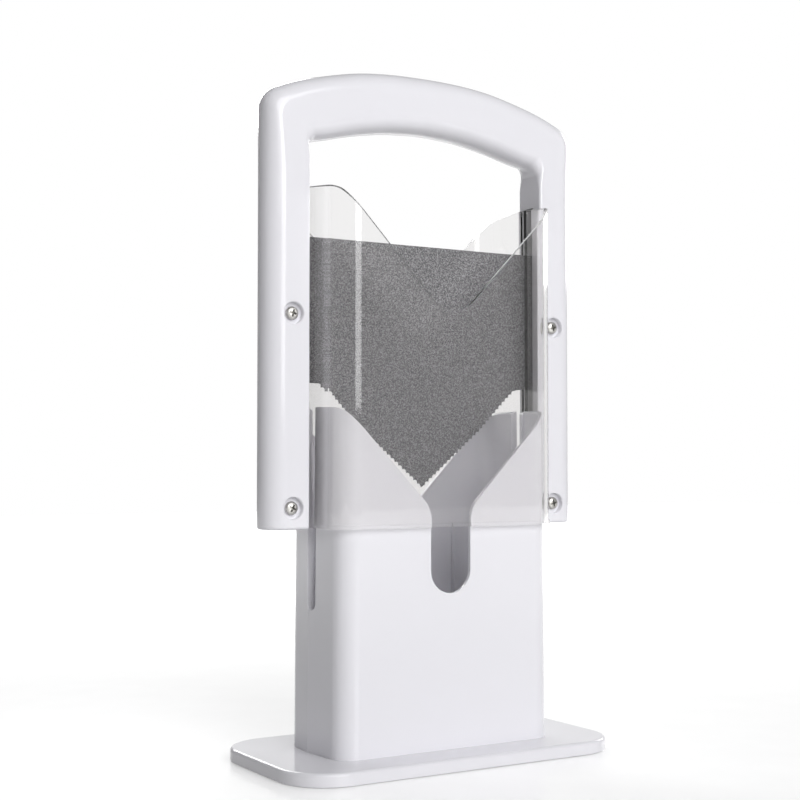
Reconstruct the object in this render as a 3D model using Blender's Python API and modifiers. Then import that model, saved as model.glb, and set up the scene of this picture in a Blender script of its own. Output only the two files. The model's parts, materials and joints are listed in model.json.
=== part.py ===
"""Bagel guillotine slicer, built in separate pieces.

A base plate carries a two-shell holder, open at the top in a wide V, that takes a bagel on edge.
A cutter slides down over the holder: two handle halves clamp a serrated V blade and two clear
shields that run down outside the holder walls.

Metres, Z up, front towards -Y. The origin is the centre of the underside of the base plate.
The cutter stands raised, with its blade above the holder, and slides along Z.
"""

import math

import bmesh
import bpy
from mathutils import Matrix, Vector

OBJECT_NAME = "bagel_guillotine_slicer"

# General
TOUCH_GAP = 0.0003
WELD = 0.00001
OVERSHOOT = 0.006
CORNER_STEPS = 6
ROUND_SEGMENTS = 20
SCREW_SEGMENTS = 14
FLAT_ANGLE = math.radians(0.05)
CREASE_ANGLE = math.radians(35)

# Screw sizes shared by all places
SHANK_RADIUS = 0.0015
SHANK_TIP = 0.0012
HEAD_RADIUS = 0.00325
HEAD_HEIGHT = 0.0021
HOLE_RADIUS = SHANK_RADIUS + TOUCH_GAP
HEAD_SHARES = ((0.0, 1.0), (0.5, 0.93), (0.8, 0.72), (0.96, 0.38), (1.0, 0.0))

# Base plate
BASE_LENGTH = 0.182
BASE_DEPTH = 0.0955
BASE_THICKNESS = 0.0062
BASE_CORNER_RADIUS = 0.0245
BASE_RIM_RADIUS = 0.0016
BASE_RIM_STEPS = 3

# Screws that hold the holder to the base, driven from below
BASE_SCREW_OFFSET = 0.027
BASE_SCREW_INSET = 0.0057
BASE_BOSS_RADIUS = 0.0042
BASE_BOSS_HEIGHT = 0.013
BASE_COUNTERBORE_RADIUS = 0.0038
BASE_COUNTERBORE_DEPTH = 0.0028
BASE_SCREW_LENGTH = 0.0125
BASE_PILOT_DEPTH = 0.0115

# Pockets that core the underside of the base plate
BASE_POCKET_DEPTH = 0.0032
BASE_POCKET_CORNER_RADIUS = 0.004
BASE_POCKET_END_RADIUS = 0.018
BASE_BORDER = 0.006
BASE_WEB = 0.004
BASE_SCREW_BAND = 0.008

# Holder plan, measured at the foot of the shells
HOLDER_HALF_WIDTH = 0.0626
HOLDER_DRAFT = 0.0008
HOLDER_FRONT = -0.0273
HOLDER_REAR = 0.0277
HOLDER_SEAM = 0.0026
HOLDER_TAPER = 0.08
HOLDER_WALL = 0.0022
HOLDER_FRONT_CORNER_RADIUS = 0.0105
HOLDER_REAR_CORNER_RADIUS = 0.0125
HOLDER_BOTTOM = BASE_THICKNESS + TOUCH_GAP
HOLDER_TOP = 0.172

# Mouth in the front and rear walls
SLOT_HALF_WIDTH = 0.0113
SLOT_DEPTH = 0.0903
MOUTH_DEPTH = 0.0494
MOUTH_SHOULDER = 0.0031
MOUTH_LOWER_RADIUS = 0.013
MOUTH_UPPER_RADIUS = 0.012
SLOT_BOTTOM = HOLDER_TOP - SLOT_DEPTH
MOUTH_START = HOLDER_TOP - MOUTH_DEPTH
MOUTH_HALF_WIDTH = HOLDER_HALF_WIDTH - MOUTH_SHOULDER

# Side slots for the blade, with guide lips beside them
SIDE_SLOT_FRONT = -0.0034
SIDE_SLOT_REAR = 0.0041
SIDE_SLOT_DEPTH = 0.0977
SIDE_SLOT_BOTTOM = HOLDER_TOP - SIDE_SLOT_DEPTH
LIP_WIDTH = 0.002
LIP_HEIGHT = 0.0016

# Gripping ribs on the inside of the front and rear walls
RIB_INNER_OFFSET = 0.016
RIB_OUTER_OFFSET = 0.0355
RIB_THICKNESS = 0.002
RIB_FOOT = 0.009
RIB_KNEE = 0.03
RIB_TOP = 0.112
RIB_FOOT_DEPTH = 0.008
RIB_TOP_DEPTH = 0.0008
BOND = 0.0006

# Screws that hold the two shells together, driven from the rear
SHELL_SCREW_LOWER_INSET = 0.0166
SHELL_SCREW_LOWER_HEIGHT = 0.016
SHELL_SCREW_UPPER_INSET = 0.0091
SHELL_SCREW_UPPER_HEIGHT = 0.038
SHELL_FRONT_BOSS_RADIUS = 0.0042
SHELL_REAR_BOSS_RADIUS = 0.0052
SHELL_COUNTERBORE_RADIUS = 0.0036
SHELL_SEAT_DEPTH = 0.015
SHELL_SEAT = HOLDER_REAR - SHELL_SEAT_DEPTH
SHELL_PILOT_DEPTH = 0.012
SHELL_SCREW_LENGTH = 0.0205
SHELL_SCREWS = {
    "lower": (HOLDER_HALF_WIDTH - SHELL_SCREW_LOWER_INSET, SHELL_SCREW_LOWER_HEIGHT),
    "upper": (HOLDER_HALF_WIDTH - SHELL_SCREW_UPPER_INSET, SHELL_SCREW_UPPER_HEIGHT),
}

# Clear shields, a front one and a rear one, outside the holder
SHIELD_CLEARANCE = 0.0007
SHIELD_WALL = 0.0017
SHIELD_HALF_WIDTH = HOLDER_HALF_WIDTH + SHIELD_CLEARANCE + SHIELD_WALL
SHIELD_DEPTH = HOLDER_REAR + SHIELD_CLEARANCE + SHIELD_WALL
SHIELD_CORNER_RADIUS = 0.013

# Handle legs, outside the shields
LEG_CLEARANCE = 0.0027
LEG_WIDTH = 0.0223
LEG_INNER = SHIELD_HALF_WIDTH + LEG_CLEARANCE
LEG_OUTER = LEG_INNER + LEG_WIDTH
HANDLE_HALF_DEPTH = 0.0095
LEG_BOTTOM = 0.1128
LEG_EDGE_RADIUS = 0.0015
LEG_FOOT_RADIUS = 0.0016
LEG_FOOT_STEPS = 2
SEAM_OFFSET = TOUCH_GAP / 2

# Handle grip: half of its top and underside as (distance across, drop below the top of the handle),
# drawn for one half width and stretched across to the real one
HANDLE_TOP = 0.3384
GRIP_DRAWN_HALF_WIDTH = 0.09
GRIP_EDGE_RADIUS = 0.008
GRIP_TOP_LINE = (
    (0.0, 0.0),
    (0.01, 0.0001),
    (0.02, 0.0005),
    (0.03, 0.0013),
    (0.0392, 0.0025),
    (0.048, 0.0042),
    (0.057, 0.0063),
    (0.0655, 0.0085),
    (0.0745, 0.0114),
    (0.0831, 0.0149),
)
GRIP_UNDER_LINE = (
    (0.0, 0.0291),
    (0.018, 0.03),
    (0.036, 0.0327),
    (0.044, 0.0344),
    (0.056, 0.0374),
    (0.063, 0.0388),
)
GRIP_STATIONS = (
    (0.0, 0.0),
    (0.0075, 0.0085),
    (0.015, 0.017),
    (0.0225, 0.0255),
    (0.0295, 0.034),
    (0.036, 0.0425),
    (0.042, 0.051),
    (0.048, 0.0595),
    (0.0535, 0.068),
    (0.0585, 0.0762),
)

# Corners between the grip and the legs
INNER_CORNER_RADIUS = 0.006
INNER_CORNER_DROP = 0.0446
INNER_CORNER_ANGLE = 77.9
OUTER_CORNER_RADIUS = 0.011
OUTER_CORNER_DROP = 0.0251
OUTER_CORNER_ANGLE = 68.0
CORNER_EDGE_RADIUS = 0.003
HANDLE_CORNER_STEPS = 7
LEG_STATION_DROPS = ((0.0504, 0.0384), (0.0584, 0.0544), (0.0684, 0.0684))
INNER_EDGE_STEPS = 4
OUTER_EDGE_STEPS = 7

# Blade, with its edge as (distance across, drop below its top)
BLADE_THICKNESS = 0.001
BLADE_DROP = 0.0851
BLADE_TOP = HANDLE_TOP - BLADE_DROP
BLADE_END_WALL = 0.006
BLADE_END = LEG_OUTER - BLADE_END_WALL
BLADE_END_HEIGHT = 0.0671
BLADE_LEG_HEIGHT = 0.0693
BLADE_SHOULDER = ((0.0625, 0.0709), (0.0578, 0.0713))
BLADE_ARM = (
    (0.0557, 0.0731),
    (0.052, 0.0763),
    (0.047, 0.0812),
    (0.04, 0.088),
    (0.0355, 0.0925),
    (0.0, 0.1218),
)
SCALLOP_PITCH = 0.0028
SCALLOP_DEPTH = 0.0008
SCALLOP_SHARES = (0.0, 0.25, 0.5, 0.75)

# Heights of the shields
SHIELD_RISE = 0.0217
SHIELD_FOOT_GAP = 0.0006
SHIELD_TOP = BLADE_TOP + SHIELD_RISE
SHIELD_BOTTOM = LEG_BOTTOM + SHIELD_FOOT_GAP
SHIELD_LIP_HEIGHT = 0.002
SHIELD_LIP_WIDTH = 0.0005
SHIELD_MOUTH_DEPTH = 0.0636
SHIELD_MOUTH_SHOULDER = 0.0033
SHIELD_MOUTH_RADIUS = 0.0163
SHIELD_HORN_RADIUS = 0.01
SHIELD_MOUTH_START = SHIELD_TOP - SHIELD_MOUTH_DEPTH
SHIELD_MOUTH_HALF_WIDTH = SHIELD_HALF_WIDTH - SHIELD_MOUTH_SHOULDER

# Pocket in the legs that takes the blade ends and the shield flanges
POCKET_SPARE = 0.0005
POCKET_FLOOR = 0.0036
POCKET_HEADROOM = 0.001
POCKET_OUTER = BLADE_END + POCKET_SPARE
POCKET_BOTTOM = LEG_BOTTOM + POCKET_FLOOR
POCKET_TOP = SHIELD_TOP + POCKET_HEADROOM

# Flanges of the shields, clamped between the handle halves
FLANGE_THICKNESS = 0.002
FLANGE_STEP = LEG_INNER - TOUCH_GAP
FLANGE_OUTER = BLADE_END
FLANGE_TAB_BOTTOM = POCKET_BOTTOM + POCKET_HEADROOM
FLANGE_NEAR = BLADE_THICKNESS / 2 + TOUCH_GAP
FLANGE_FAR = FLANGE_NEAR + FLANGE_THICKNESS
POCKET_DEPTH = FLANGE_FAR + TOUCH_GAP

# Screws that clamp the handle halves, driven from the front
HANDLE_SCREW_INSET = 0.0088
HANDLE_SCREW_FOOT = 0.0102
HANDLE_SCREW_DROP = 0.0383
HANDLE_BOSS_RADIUS = 0.0072
HANDLE_BOSS_SKIN = 0.001
HANDLE_COUNTERBORE_RADIUS = 0.0052
HANDLE_COUNTERBORE_DEPTH = 0.003
HANDLE_SCREW_LENGTH = 0.0135
HANDLE_PILOT_SKIN = 0.0015
HANDLE_SCREWS = {
    "lower": (LEG_INNER + HANDLE_SCREW_INSET, LEG_BOTTOM + HANDLE_SCREW_FOOT),
    "upper": (LEG_INNER + HANDLE_SCREW_INSET, BLADE_TOP - HANDLE_SCREW_DROP),
}

# Hollow inside the handle halves
CORE_WALL = 0.005
CORE_DEPTH = 0.0063
CORE_FOOT = 0.011
CORE_BOTTOM = LEG_BOTTOM + HANDLE_SCREW_FOOT + CORE_FOOT

# Finishes as colour, roughness, metallic and transmission
WHITE_PLASTIC = ((0.86, 0.86, 0.87, 1.0), 0.32, 0.0, 0.0)
CLEAR_PLASTIC = ((0.95, 0.96, 0.96, 1.0), 0.06, 0.0, 0.92)
COATED_STEEL = ((0.2, 0.2, 0.21, 1.0), 0.45, 0.7, 0.0)
BRIGHT_STEEL = ((0.72, 0.72, 0.7, 1.0), 0.25, 1.0, 0.0)


def clear_file():
    """Start from an empty file."""
    for item in list(bpy.data.objects):
        bpy.data.objects.remove(item, do_unlink=True)
    for group in list(bpy.data.collections):
        bpy.data.collections.remove(group)


def new_group(name):
    """Collection under the scene."""
    group = bpy.data.collections.new(name)
    bpy.context.scene.collection.children.link(group)
    return group


def place(name, mesh, group):
    """Object for a mesh. Tools of the Booleans are drawn as wires and left out of renders."""
    item = bpy.data.objects.new(name, mesh)
    group.objects.link(item)
    if group.name.endswith("cutters"):
        item.hide_render = True
        item.display_type = "WIRE"
    return item


def paint(item, finish):
    """Give a piece a material of its own."""
    color, roughness, metallic, transmission = finish
    material = bpy.data.materials.new(item.name)
    material.use_nodes = True
    shader = material.node_tree.nodes["Principled BSDF"]
    shader.inputs["Base Color"].default_value = color
    shader.inputs["Roughness"].default_value = roughness
    shader.inputs["Metallic"].default_value = metallic
    shader.inputs["Transmission Weight"].default_value = transmission
    item.data.materials.clear()
    item.data.materials.append(material)


def to_mesh(name, shape):
    """Mesh from a bmesh, welded and with its faces turned outward."""
    bmesh.ops.remove_doubles(shape, verts=shape.verts, dist=WELD)
    bmesh.ops.recalc_face_normals(shape, faces=shape.faces)
    mesh = bpy.data.meshes.new(name)
    shape.to_mesh(mesh)
    shape.free()
    return mesh


def shade_round(item):
    """Shade a piece smooth but for its real edges."""
    item.data.shade_smooth()
    item.data.set_sharp_from_angle(angle=CREASE_ANGLE)


def arc(across, up, radius, start, end, steps):
    """Points of an arc, with its angles in degrees."""
    angles = [math.radians(start + (end - start) * k / steps) for k in range(steps + 1)]
    return [(across + radius * math.cos(a), up + radius * math.sin(a)) for a in angles]


def rounded(corners, steps=CORNER_STEPS):
    """Closed outline from corners (u, v, radius), each rounded by its own radius."""
    outline = []
    count = len(corners)
    for k, (u, v, radius) in enumerate(corners):
        here = Vector((u, v))
        if radius == 0:
            outline.append((u, v))
            continue
        before = (Vector(corners[k - 1][:2]) - here).normalized()
        after = (Vector(corners[(k + 1) % count][:2]) - here).normalized()
        half = before.angle(after) / 2
        centre = here + (before + after).normalized() * radius / math.sin(half)
        arm = here + before * radius / math.tan(half) - centre
        turn = math.pi - 2 * half
        if before.cross(after) > 0:
            turn = -turn
        for step in range(steps + 1):
            point = centre + Matrix.Rotation(turn * step / steps, 2) @ arm
            outline.append((point.x, point.y))
    return outline


def mirrored(right):
    """Right half of an outline followed by its mirror image on the left."""
    return list(right) + [(-corner[0],) + tuple(corner[1:]) for corner in reversed(right)]


def slab(name, outline, start, end, facing, group):
    """Solid with a flat outline that runs from start to end along an axis.

    Facing "z" takes (x, y) points, "y" takes (x, z) points and "x" takes (y, z) points.
    """
    curve = bpy.data.curves.new(name, "CURVE")
    curve.dimensions = "2D"
    curve.fill_mode = "BOTH"
    curve.extrude = (end - start) / 2
    spline = curve.splines.new("POLY")
    spline.points.add(len(outline) - 1)
    for point, (u, v) in zip(spline.points, outline):
        point.co = (u, v, 0, 1)
    spline.use_cyclic_u = True
    drawing = bpy.data.objects.new(name + "_drawing", curve)
    group.objects.link(drawing)
    flat = bpy.data.meshes.new_from_object(drawing)
    bpy.data.objects.remove(drawing, do_unlink=True)
    shape = bmesh.new()
    shape.from_mesh(flat)
    bpy.data.meshes.remove(flat)
    bmesh.ops.remove_doubles(shape, verts=shape.verts, dist=WELD)
    bmesh.ops.dissolve_limit(shape, angle_limit=FLAT_ANGLE, verts=[], edges=shape.edges)
    middle = (start + end) / 2
    for vert in shape.verts:
        u, v, w = vert.co.x, vert.co.y, vert.co.z + middle
        vert.co = {"z": (u, v, w), "y": (u, w, v), "x": (w, u, v)}[facing]
    return place(name, to_mesh(name, shape), group)


def rod(name, radius, start, end, spot, facing, group):
    """Round rod along an axis. The spot holds its other two places, in the order of the axes."""
    shape = bmesh.new()
    bmesh.ops.create_cone(
        shape,
        cap_ends=True,
        segments=ROUND_SEGMENTS,
        radius1=radius,
        radius2=radius,
        depth=abs(end - start),
    )
    middle = (start + end) / 2
    for vert in shape.verts:
        u, v, w = vert.co.x + spot[0], vert.co.y + spot[1], vert.co.z + middle
        vert.co = {"z": (u, v, w), "y": (u, w, v), "x": (w, u, v)}[facing]
    item = place(name, to_mesh(name, shape), group)
    shade_round(item)
    return item


def combine(target, tool, operation):
    """Join a tool to a piece or cut it out of the piece."""
    modifier = target.modifiers.new(tool.name, "BOOLEAN")
    modifier.operation = operation
    modifier.solver = "EXACT"
    modifier.object = tool


def soften(item, radius, steps, chosen):
    """Round the edges whose two ends both pass a test."""
    shape = bmesh.new()
    shape.from_mesh(item.data)
    weight = shape.edges.layers.float.new("bevel_weight_edge")
    for edge in shape.edges:
        sharp = edge.calc_face_angle(0) > CREASE_ANGLE
        if sharp and all(chosen(vert.co) for vert in edge.verts):
            edge[weight] = 1.0
    shape.to_mesh(item.data)
    shape.free()
    modifier = item.modifiers.new("rounded_edges", "BEVEL")
    modifier.limit_method = "WEIGHT"
    modifier.width = radius
    modifier.segments = steps


def add_screw(name, length, spot, outward, group):
    """Pan head screw with its head seat at the spot and its head pointing outward."""
    profile = [(HEAD_RADIUS * r, HEAD_HEIGHT * h) for r, h in HEAD_SHARES]
    profile.append((SHANK_RADIUS, 0))
    profile.append((SHANK_RADIUS, SHANK_TIP - length))
    profile.append((0, -length))
    mesh = bpy.data.meshes.new(name)
    verts = [(radius, 0, height) for radius, height in profile]
    mesh.from_pydata(verts, [(k, k + 1) for k in range(len(verts) - 1)], [])
    item = place(name, mesh, group)
    turning = item.modifiers.new("turned", "SCREW")
    turning.axis = "Z"
    turning.steps = SCREW_SEGMENTS
    turning.render_steps = SCREW_SEGMENTS
    turning.use_merge_vertices = True
    turning.merge_threshold = WELD
    turning.use_smooth_shade = True
    item.rotation_mode = "QUATERNION"
    item.rotation_quaternion = Vector((0, 0, 1)).rotation_difference(Vector(outward))
    item.location = spot
    paint(item, BRIGHT_STEEL)
    return item


def build_base(parts, cutters):
    """Plate with rounded ends, a rounded upper rim and a cored underside."""
    u, v, r = BASE_LENGTH / 2, BASE_DEPTH / 2, BASE_CORNER_RADIUS
    outline = rounded(((-u, -v, r), (u, -v, r), (u, v, r), (-u, v, r)), 2 * CORNER_STEPS)
    base = slab("base_plate", outline, 0, BASE_THICKNESS, "z", parts)
    soften(base, BASE_RIM_RADIUS, BASE_RIM_STEPS, lambda co: co.z > BASE_THICKNESS - WELD)
    for side in (-1, 1):
        hand = "left" if side < 0 else "right"
        band = BASE_SCREW_OFFSET - BASE_SCREW_BAND, BASE_SCREW_OFFSET + BASE_SCREW_BAND
        for label, near, far, rim in (
            ("inner", BASE_WEB / 2, band[0], BASE_POCKET_CORNER_RADIUS),
            ("outer", band[1], u - BASE_BORDER, BASE_POCKET_END_RADIUS),
        ):
            deep = v - BASE_BORDER
            corners = (
                (near, -deep, BASE_POCKET_CORNER_RADIUS),
                (far, -deep, rim),
                (far, deep, rim),
                (near, deep, BASE_POCKET_CORNER_RADIUS),
            )
            outline = [(side * across, along) for across, along in rounded(corners)]
            name = f"base_pocket_{label}_{hand}"
            pocket = slab(name, outline, -OVERSHOOT, BASE_POCKET_DEPTH, "z", cutters)
            combine(base, pocket, "DIFFERENCE")
    for label, spot in base_screw_spots().items():
        sink = rod(f"base_counterbore_{label}", BASE_COUNTERBORE_RADIUS, -OVERSHOOT,
                   BASE_COUNTERBORE_DEPTH, spot, "z", cutters)
        hole = rod(f"base_hole_{label}", HOLE_RADIUS, 0, BASE_THICKNESS + OVERSHOOT,
                   spot, "z", cutters)
        combine(base, sink, "DIFFERENCE")
        combine(base, hole, "DIFFERENCE")
    paint(base, WHITE_PLASTIC)
    return base


def base_screw_spots():
    """Places (x, y) of the screws through the base plate."""
    front, rear = HOLDER_FRONT + BASE_SCREW_INSET, HOLDER_REAR - BASE_SCREW_INSET
    return {
        "front_left": (-BASE_SCREW_OFFSET, front),
        "front_right": (BASE_SCREW_OFFSET, front),
        "rear_left": (-BASE_SCREW_OFFSET, rear),
        "rear_right": (BASE_SCREW_OFFSET, rear),
    }


def pair_spots(screws):
    """Places (x, z) of screws that stand in pairs, left and right."""
    return {
        f"{level}_{side}": (sign * across, height)
        for level, (across, height) in screws.items()
        for side, sign in (("left", -1), ("right", 1))
    }


def shell_outline(face, toward, corner_radius, slot_edge):
    """Plan of one shell wall, with the guide lips beside its blade slots.

    Toward is -1 for the front shell and 1 for the rear one.
    """
    seam = HOLDER_SEAM + toward * TOUCH_GAP / 2
    reach = abs(face - HOLDER_SEAM)

    def outer(y):
        return HOLDER_HALF_WIDTH - HOLDER_TAPER * abs(y - HOLDER_SEAM)

    def inner(y):
        return outer(y) - HOLDER_WALL

    lip_far = slot_edge + toward * LIP_WIDTH
    inner_face = face - toward * HOLDER_WALL
    outside = (
        (HOLDER_HALF_WIDTH - HOLDER_TAPER * reach, face, corner_radius),
        (outer(seam), seam, 0),
    )
    inside = (
        (inner(seam), seam, 0),
        (inner(slot_edge), slot_edge, 0),
        (inner(slot_edge) - LIP_HEIGHT, slot_edge, 0),
        (inner(slot_edge) - LIP_HEIGHT, lip_far, 0),
        (inner(lip_far), lip_far, 0),
        (inner(inner_face), inner_face, corner_radius - HOLDER_WALL),
    )
    return rounded(mirrored(outside + inside))


def lean_in(item):
    """Draw the shell in towards its top, as moulded walls are."""
    height = HOLDER_TOP - HOLDER_BOTTOM
    loss = HOLDER_DRAFT / HOLDER_HALF_WIDTH
    for vert in item.data.vertices:
        vert.co.x *= 1 - loss * (vert.co.z - HOLDER_BOTTOM) / height


def build_mouth(cutters):
    """Cutter for the U slot and the V mouth, and all that lies above it."""
    wide = HOLDER_HALF_WIDTH + OVERSHOOT
    high = HOLDER_TOP + 2 * OVERSHOOT
    middle = SLOT_BOTTOM + SLOT_HALF_WIDTH
    bowl = arc(0, middle, SLOT_HALF_WIDTH, 180, 360, 2 * CORNER_STEPS)
    right = (
        (SLOT_HALF_WIDTH, MOUTH_START, MOUTH_LOWER_RADIUS),
        (MOUTH_HALF_WIDTH, HOLDER_TOP, MOUTH_UPPER_RADIUS),
        (wide, HOLDER_TOP, 0),
        (wide, high, 0),
    )
    corners = [(u, v, 0) for u, v in bowl] + mirrored(right)
    start = HOLDER_FRONT - OVERSHOOT
    return slab("mouth", rounded(corners), start, HOLDER_REAR + OVERSHOOT, "y", cutters)


def build_side_slot(cutters):
    """Cutter for the two side slots that let the blade down between the shells."""
    radius = (SIDE_SLOT_REAR - SIDE_SLOT_FRONT) / 2
    middle = (SIDE_SLOT_REAR + SIDE_SLOT_FRONT) / 2
    outline = arc(middle, SIDE_SLOT_BOTTOM + radius, radius, 180, 360, 2 * CORNER_STEPS)
    outline += [(SIDE_SLOT_REAR, HOLDER_TOP + OVERSHOOT), (SIDE_SLOT_FRONT, HOLDER_TOP + OVERSHOOT)]
    wide = HOLDER_HALF_WIDTH + OVERSHOOT
    return slab("side_slots", outline, -wide, wide, "x", cutters)


def shell_fill(name, face, toward, corner_radius, cutters):
    """Solid that ends inside the shell wall, to trim the roots of the bosses to the wall."""
    reach = abs(face - HOLDER_SEAM)
    seam = HOLDER_SEAM + toward * TOUCH_GAP / 2
    bonded = HOLDER_HALF_WIDTH - HOLDER_TAPER * TOUCH_GAP / 2 - BOND
    right = (
        (HOLDER_HALF_WIDTH - HOLDER_TAPER * reach - BOND, face - toward * BOND, corner_radius - BOND),
        (bonded, seam, 0),
    )
    return slab(name, rounded(mirrored(right)), 0, HOLDER_TOP, "z", cutters)


def build_shell(name, toward, mouth, side_slot, parts, cutters):
    """One half of the holder: drafted wall, ribs, bosses, mouth and blade slots."""
    front = toward < 0
    face = HOLDER_FRONT if front else HOLDER_REAR
    corner_radius = HOLDER_FRONT_CORNER_RADIUS if front else HOLDER_REAR_CORNER_RADIUS
    slot_edge = SIDE_SLOT_FRONT if front else SIDE_SLOT_REAR
    outline = shell_outline(face, toward, corner_radius, slot_edge)
    shell = slab(name, outline, HOLDER_BOTTOM, HOLDER_TOP + OVERSHOOT, "z", parts)
    lean_in(shell)
    inner_face = face - toward * HOLDER_WALL
    root = inner_face + toward * BOND
    seam = HOLDER_SEAM + toward * TOUCH_GAP / 2
    right = (RIB_INNER_OFFSET, RIB_OUTER_OFFSET)
    left = (-RIB_OUTER_OFFSET, -RIB_INNER_OFFSET)
    for number, across in enumerate(left + right):
        profile = (
            (root, RIB_FOOT),
            (inner_face - toward * RIB_FOOT_DEPTH, RIB_FOOT),
            (inner_face - toward * RIB_FOOT_DEPTH, RIB_KNEE),
            (inner_face - toward * RIB_TOP_DEPTH, RIB_TOP),
            (root, RIB_TOP),
        )
        rib = slab(f"{name}_rib_{number + 1}", profile, across - RIB_THICKNESS / 2,
                   across + RIB_THICKNESS / 2, "x", cutters)
        combine(shell, rib, "UNION")
    boss_radius = SHELL_FRONT_BOSS_RADIUS if front else SHELL_REAR_BOSS_RADIUS
    fill = shell_fill(f"{name}_fill", face, toward, corner_radius, cutters)
    for label, spot in pair_spots(SHELL_SCREWS).items():
        boss = rod(f"{name}_boss_{label}", boss_radius, *sorted((face, seam)), spot, "y", cutters)
        combine(boss, fill, "INTERSECT")
        combine(shell, boss, "UNION")
    for label, (across, along) in base_screw_spots().items():
        if along * toward < 0:
            continue
        boss = rod(f"{name}_foot_{label}", BASE_BOSS_RADIUS, HOLDER_BOTTOM,
                   HOLDER_BOTTOM + BASE_BOSS_HEIGHT, (across, along), "z", cutters)
        combine(shell, boss, "UNION")
    for label, spot in pair_spots(SHELL_SCREWS).items():
        if front:
            pilot = rod(f"{name}_pilot_{label}", HOLE_RADIUS, seam - SHELL_PILOT_DEPTH,
                        seam + OVERSHOOT, spot, "y", cutters)
            combine(shell, pilot, "DIFFERENCE")
            continue
        sink = rod(f"{name}_counterbore_{label}", SHELL_COUNTERBORE_RADIUS, SHELL_SEAT,
                   face + OVERSHOOT, spot, "y", cutters)
        hole = rod(f"{name}_hole_{label}", HOLE_RADIUS, seam - OVERSHOOT, face, spot, "y", cutters)
        combine(shell, sink, "DIFFERENCE")
        combine(shell, hole, "DIFFERENCE")
    for label, (across, along) in base_screw_spots().items():
        if along * toward < 0:
            continue
        pilot = rod(f"{name}_foot_pilot_{label}", HOLE_RADIUS, HOLDER_BOTTOM - OVERSHOOT,
                    HOLDER_BOTTOM + BASE_PILOT_DEPTH, (across, along), "z", cutters)
        combine(shell, pilot, "DIFFERENCE")
    combine(shell, mouth, "DIFFERENCE")
    combine(shell, side_slot, "DIFFERENCE")
    paint(shell, WHITE_PLASTIC)
    return shell


def follow(line, across):
    """Height of a line of points at a distance across, eased through its points."""
    for k in range(len(line) - 1):
        if across <= line[k + 1][0] or k == len(line) - 2:
            break
    (u0, v0), (u1, v1) = line[k], line[k + 1]

    def slope(index):
        if index == 0:
            return 0
        if index == len(line) - 1:
            return (line[-1][1] - line[-2][1]) / (line[-1][0] - line[-2][0])
        before = (line[index][1] - line[index - 1][1]) / (line[index][0] - line[index - 1][0])
        after = (line[index + 1][1] - line[index][1]) / (line[index + 1][0] - line[index][0])
        return 2 * before * after / (before + after)

    width = u1 - u0
    t = (across - u0) / width
    start, end = slope(k) * width, slope(k + 1) * width
    rise = v1 - v0
    return v0 + start * t + (3 * rise - 2 * start - end) * t * t + (start + end - 2 * rise) * t ** 3


def handle_stations():
    """Sections along the right half of the handle: inner point, outer point, inner edge radius."""
    stations = []
    stretch = LEG_OUTER / GRIP_DRAWN_HALF_WIDTH
    for inner_x, outer_x in GRIP_STATIONS:
        inner = (inner_x * stretch, HANDLE_TOP - follow(GRIP_UNDER_LINE, inner_x))
        outer = (outer_x * stretch, HANDLE_TOP - follow(GRIP_TOP_LINE, outer_x))
        stations.append((inner, outer, GRIP_EDGE_RADIUS))
    inner_arc = arc(LEG_INNER - INNER_CORNER_RADIUS, HANDLE_TOP - INNER_CORNER_DROP,
                    INNER_CORNER_RADIUS, INNER_CORNER_ANGLE, 0, HANDLE_CORNER_STEPS)
    outer_arc = arc(LEG_OUTER - OUTER_CORNER_RADIUS, HANDLE_TOP - OUTER_CORNER_DROP,
                    OUTER_CORNER_RADIUS, OUTER_CORNER_ANGLE, 0, HANDLE_CORNER_STEPS)
    for k, (inner, outer) in enumerate(zip(inner_arc, outer_arc)):
        share = k / HANDLE_CORNER_STEPS
        edge = GRIP_EDGE_RADIUS + (CORNER_EDGE_RADIUS - GRIP_EDGE_RADIUS) * share
        stations.append((inner, outer, edge))
    for inner_drop, outer_drop in LEG_STATION_DROPS:
        inner, outer = (LEG_INNER, HANDLE_TOP - inner_drop), (LEG_OUTER, HANDLE_TOP - outer_drop)
        stations.append((inner, outer, LEG_EDGE_RADIUS))
    stations.append(((LEG_INNER, LEG_BOTTOM), (LEG_OUTER, LEG_BOTTOM), LEG_EDGE_RADIUS))
    return stations


def all_stations():
    """Sections from the foot of the left leg over the grip to the foot of the right leg."""
    right = handle_stations()
    left = [((-i[0], i[1]), (-o[0], o[1]), edge) for i, o, edge in reversed(right[1:])]
    return left + right


def handle_section(inner, outer, edge, toward):
    """One section of a handle half: small inner edge, flat face and full half-round outside."""
    start, end = Vector(inner), Vector(outer)
    width = (end - start).length
    along = (end - start) / width
    depth = HANDLE_HALF_DEPTH
    points = [(0, SEAM_OFFSET)]
    points += arc(edge, depth - edge, edge, 180, 90, INNER_EDGE_STEPS)
    last = math.degrees(math.asin(SEAM_OFFSET / depth))
    points += arc(width - depth, 0, depth, 90, last, OUTER_EDGE_STEPS)
    section = []
    for distance, out in points:
        spot = start + along * distance
        section.append((spot.x, toward * out, spot.y))
    return section


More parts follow.
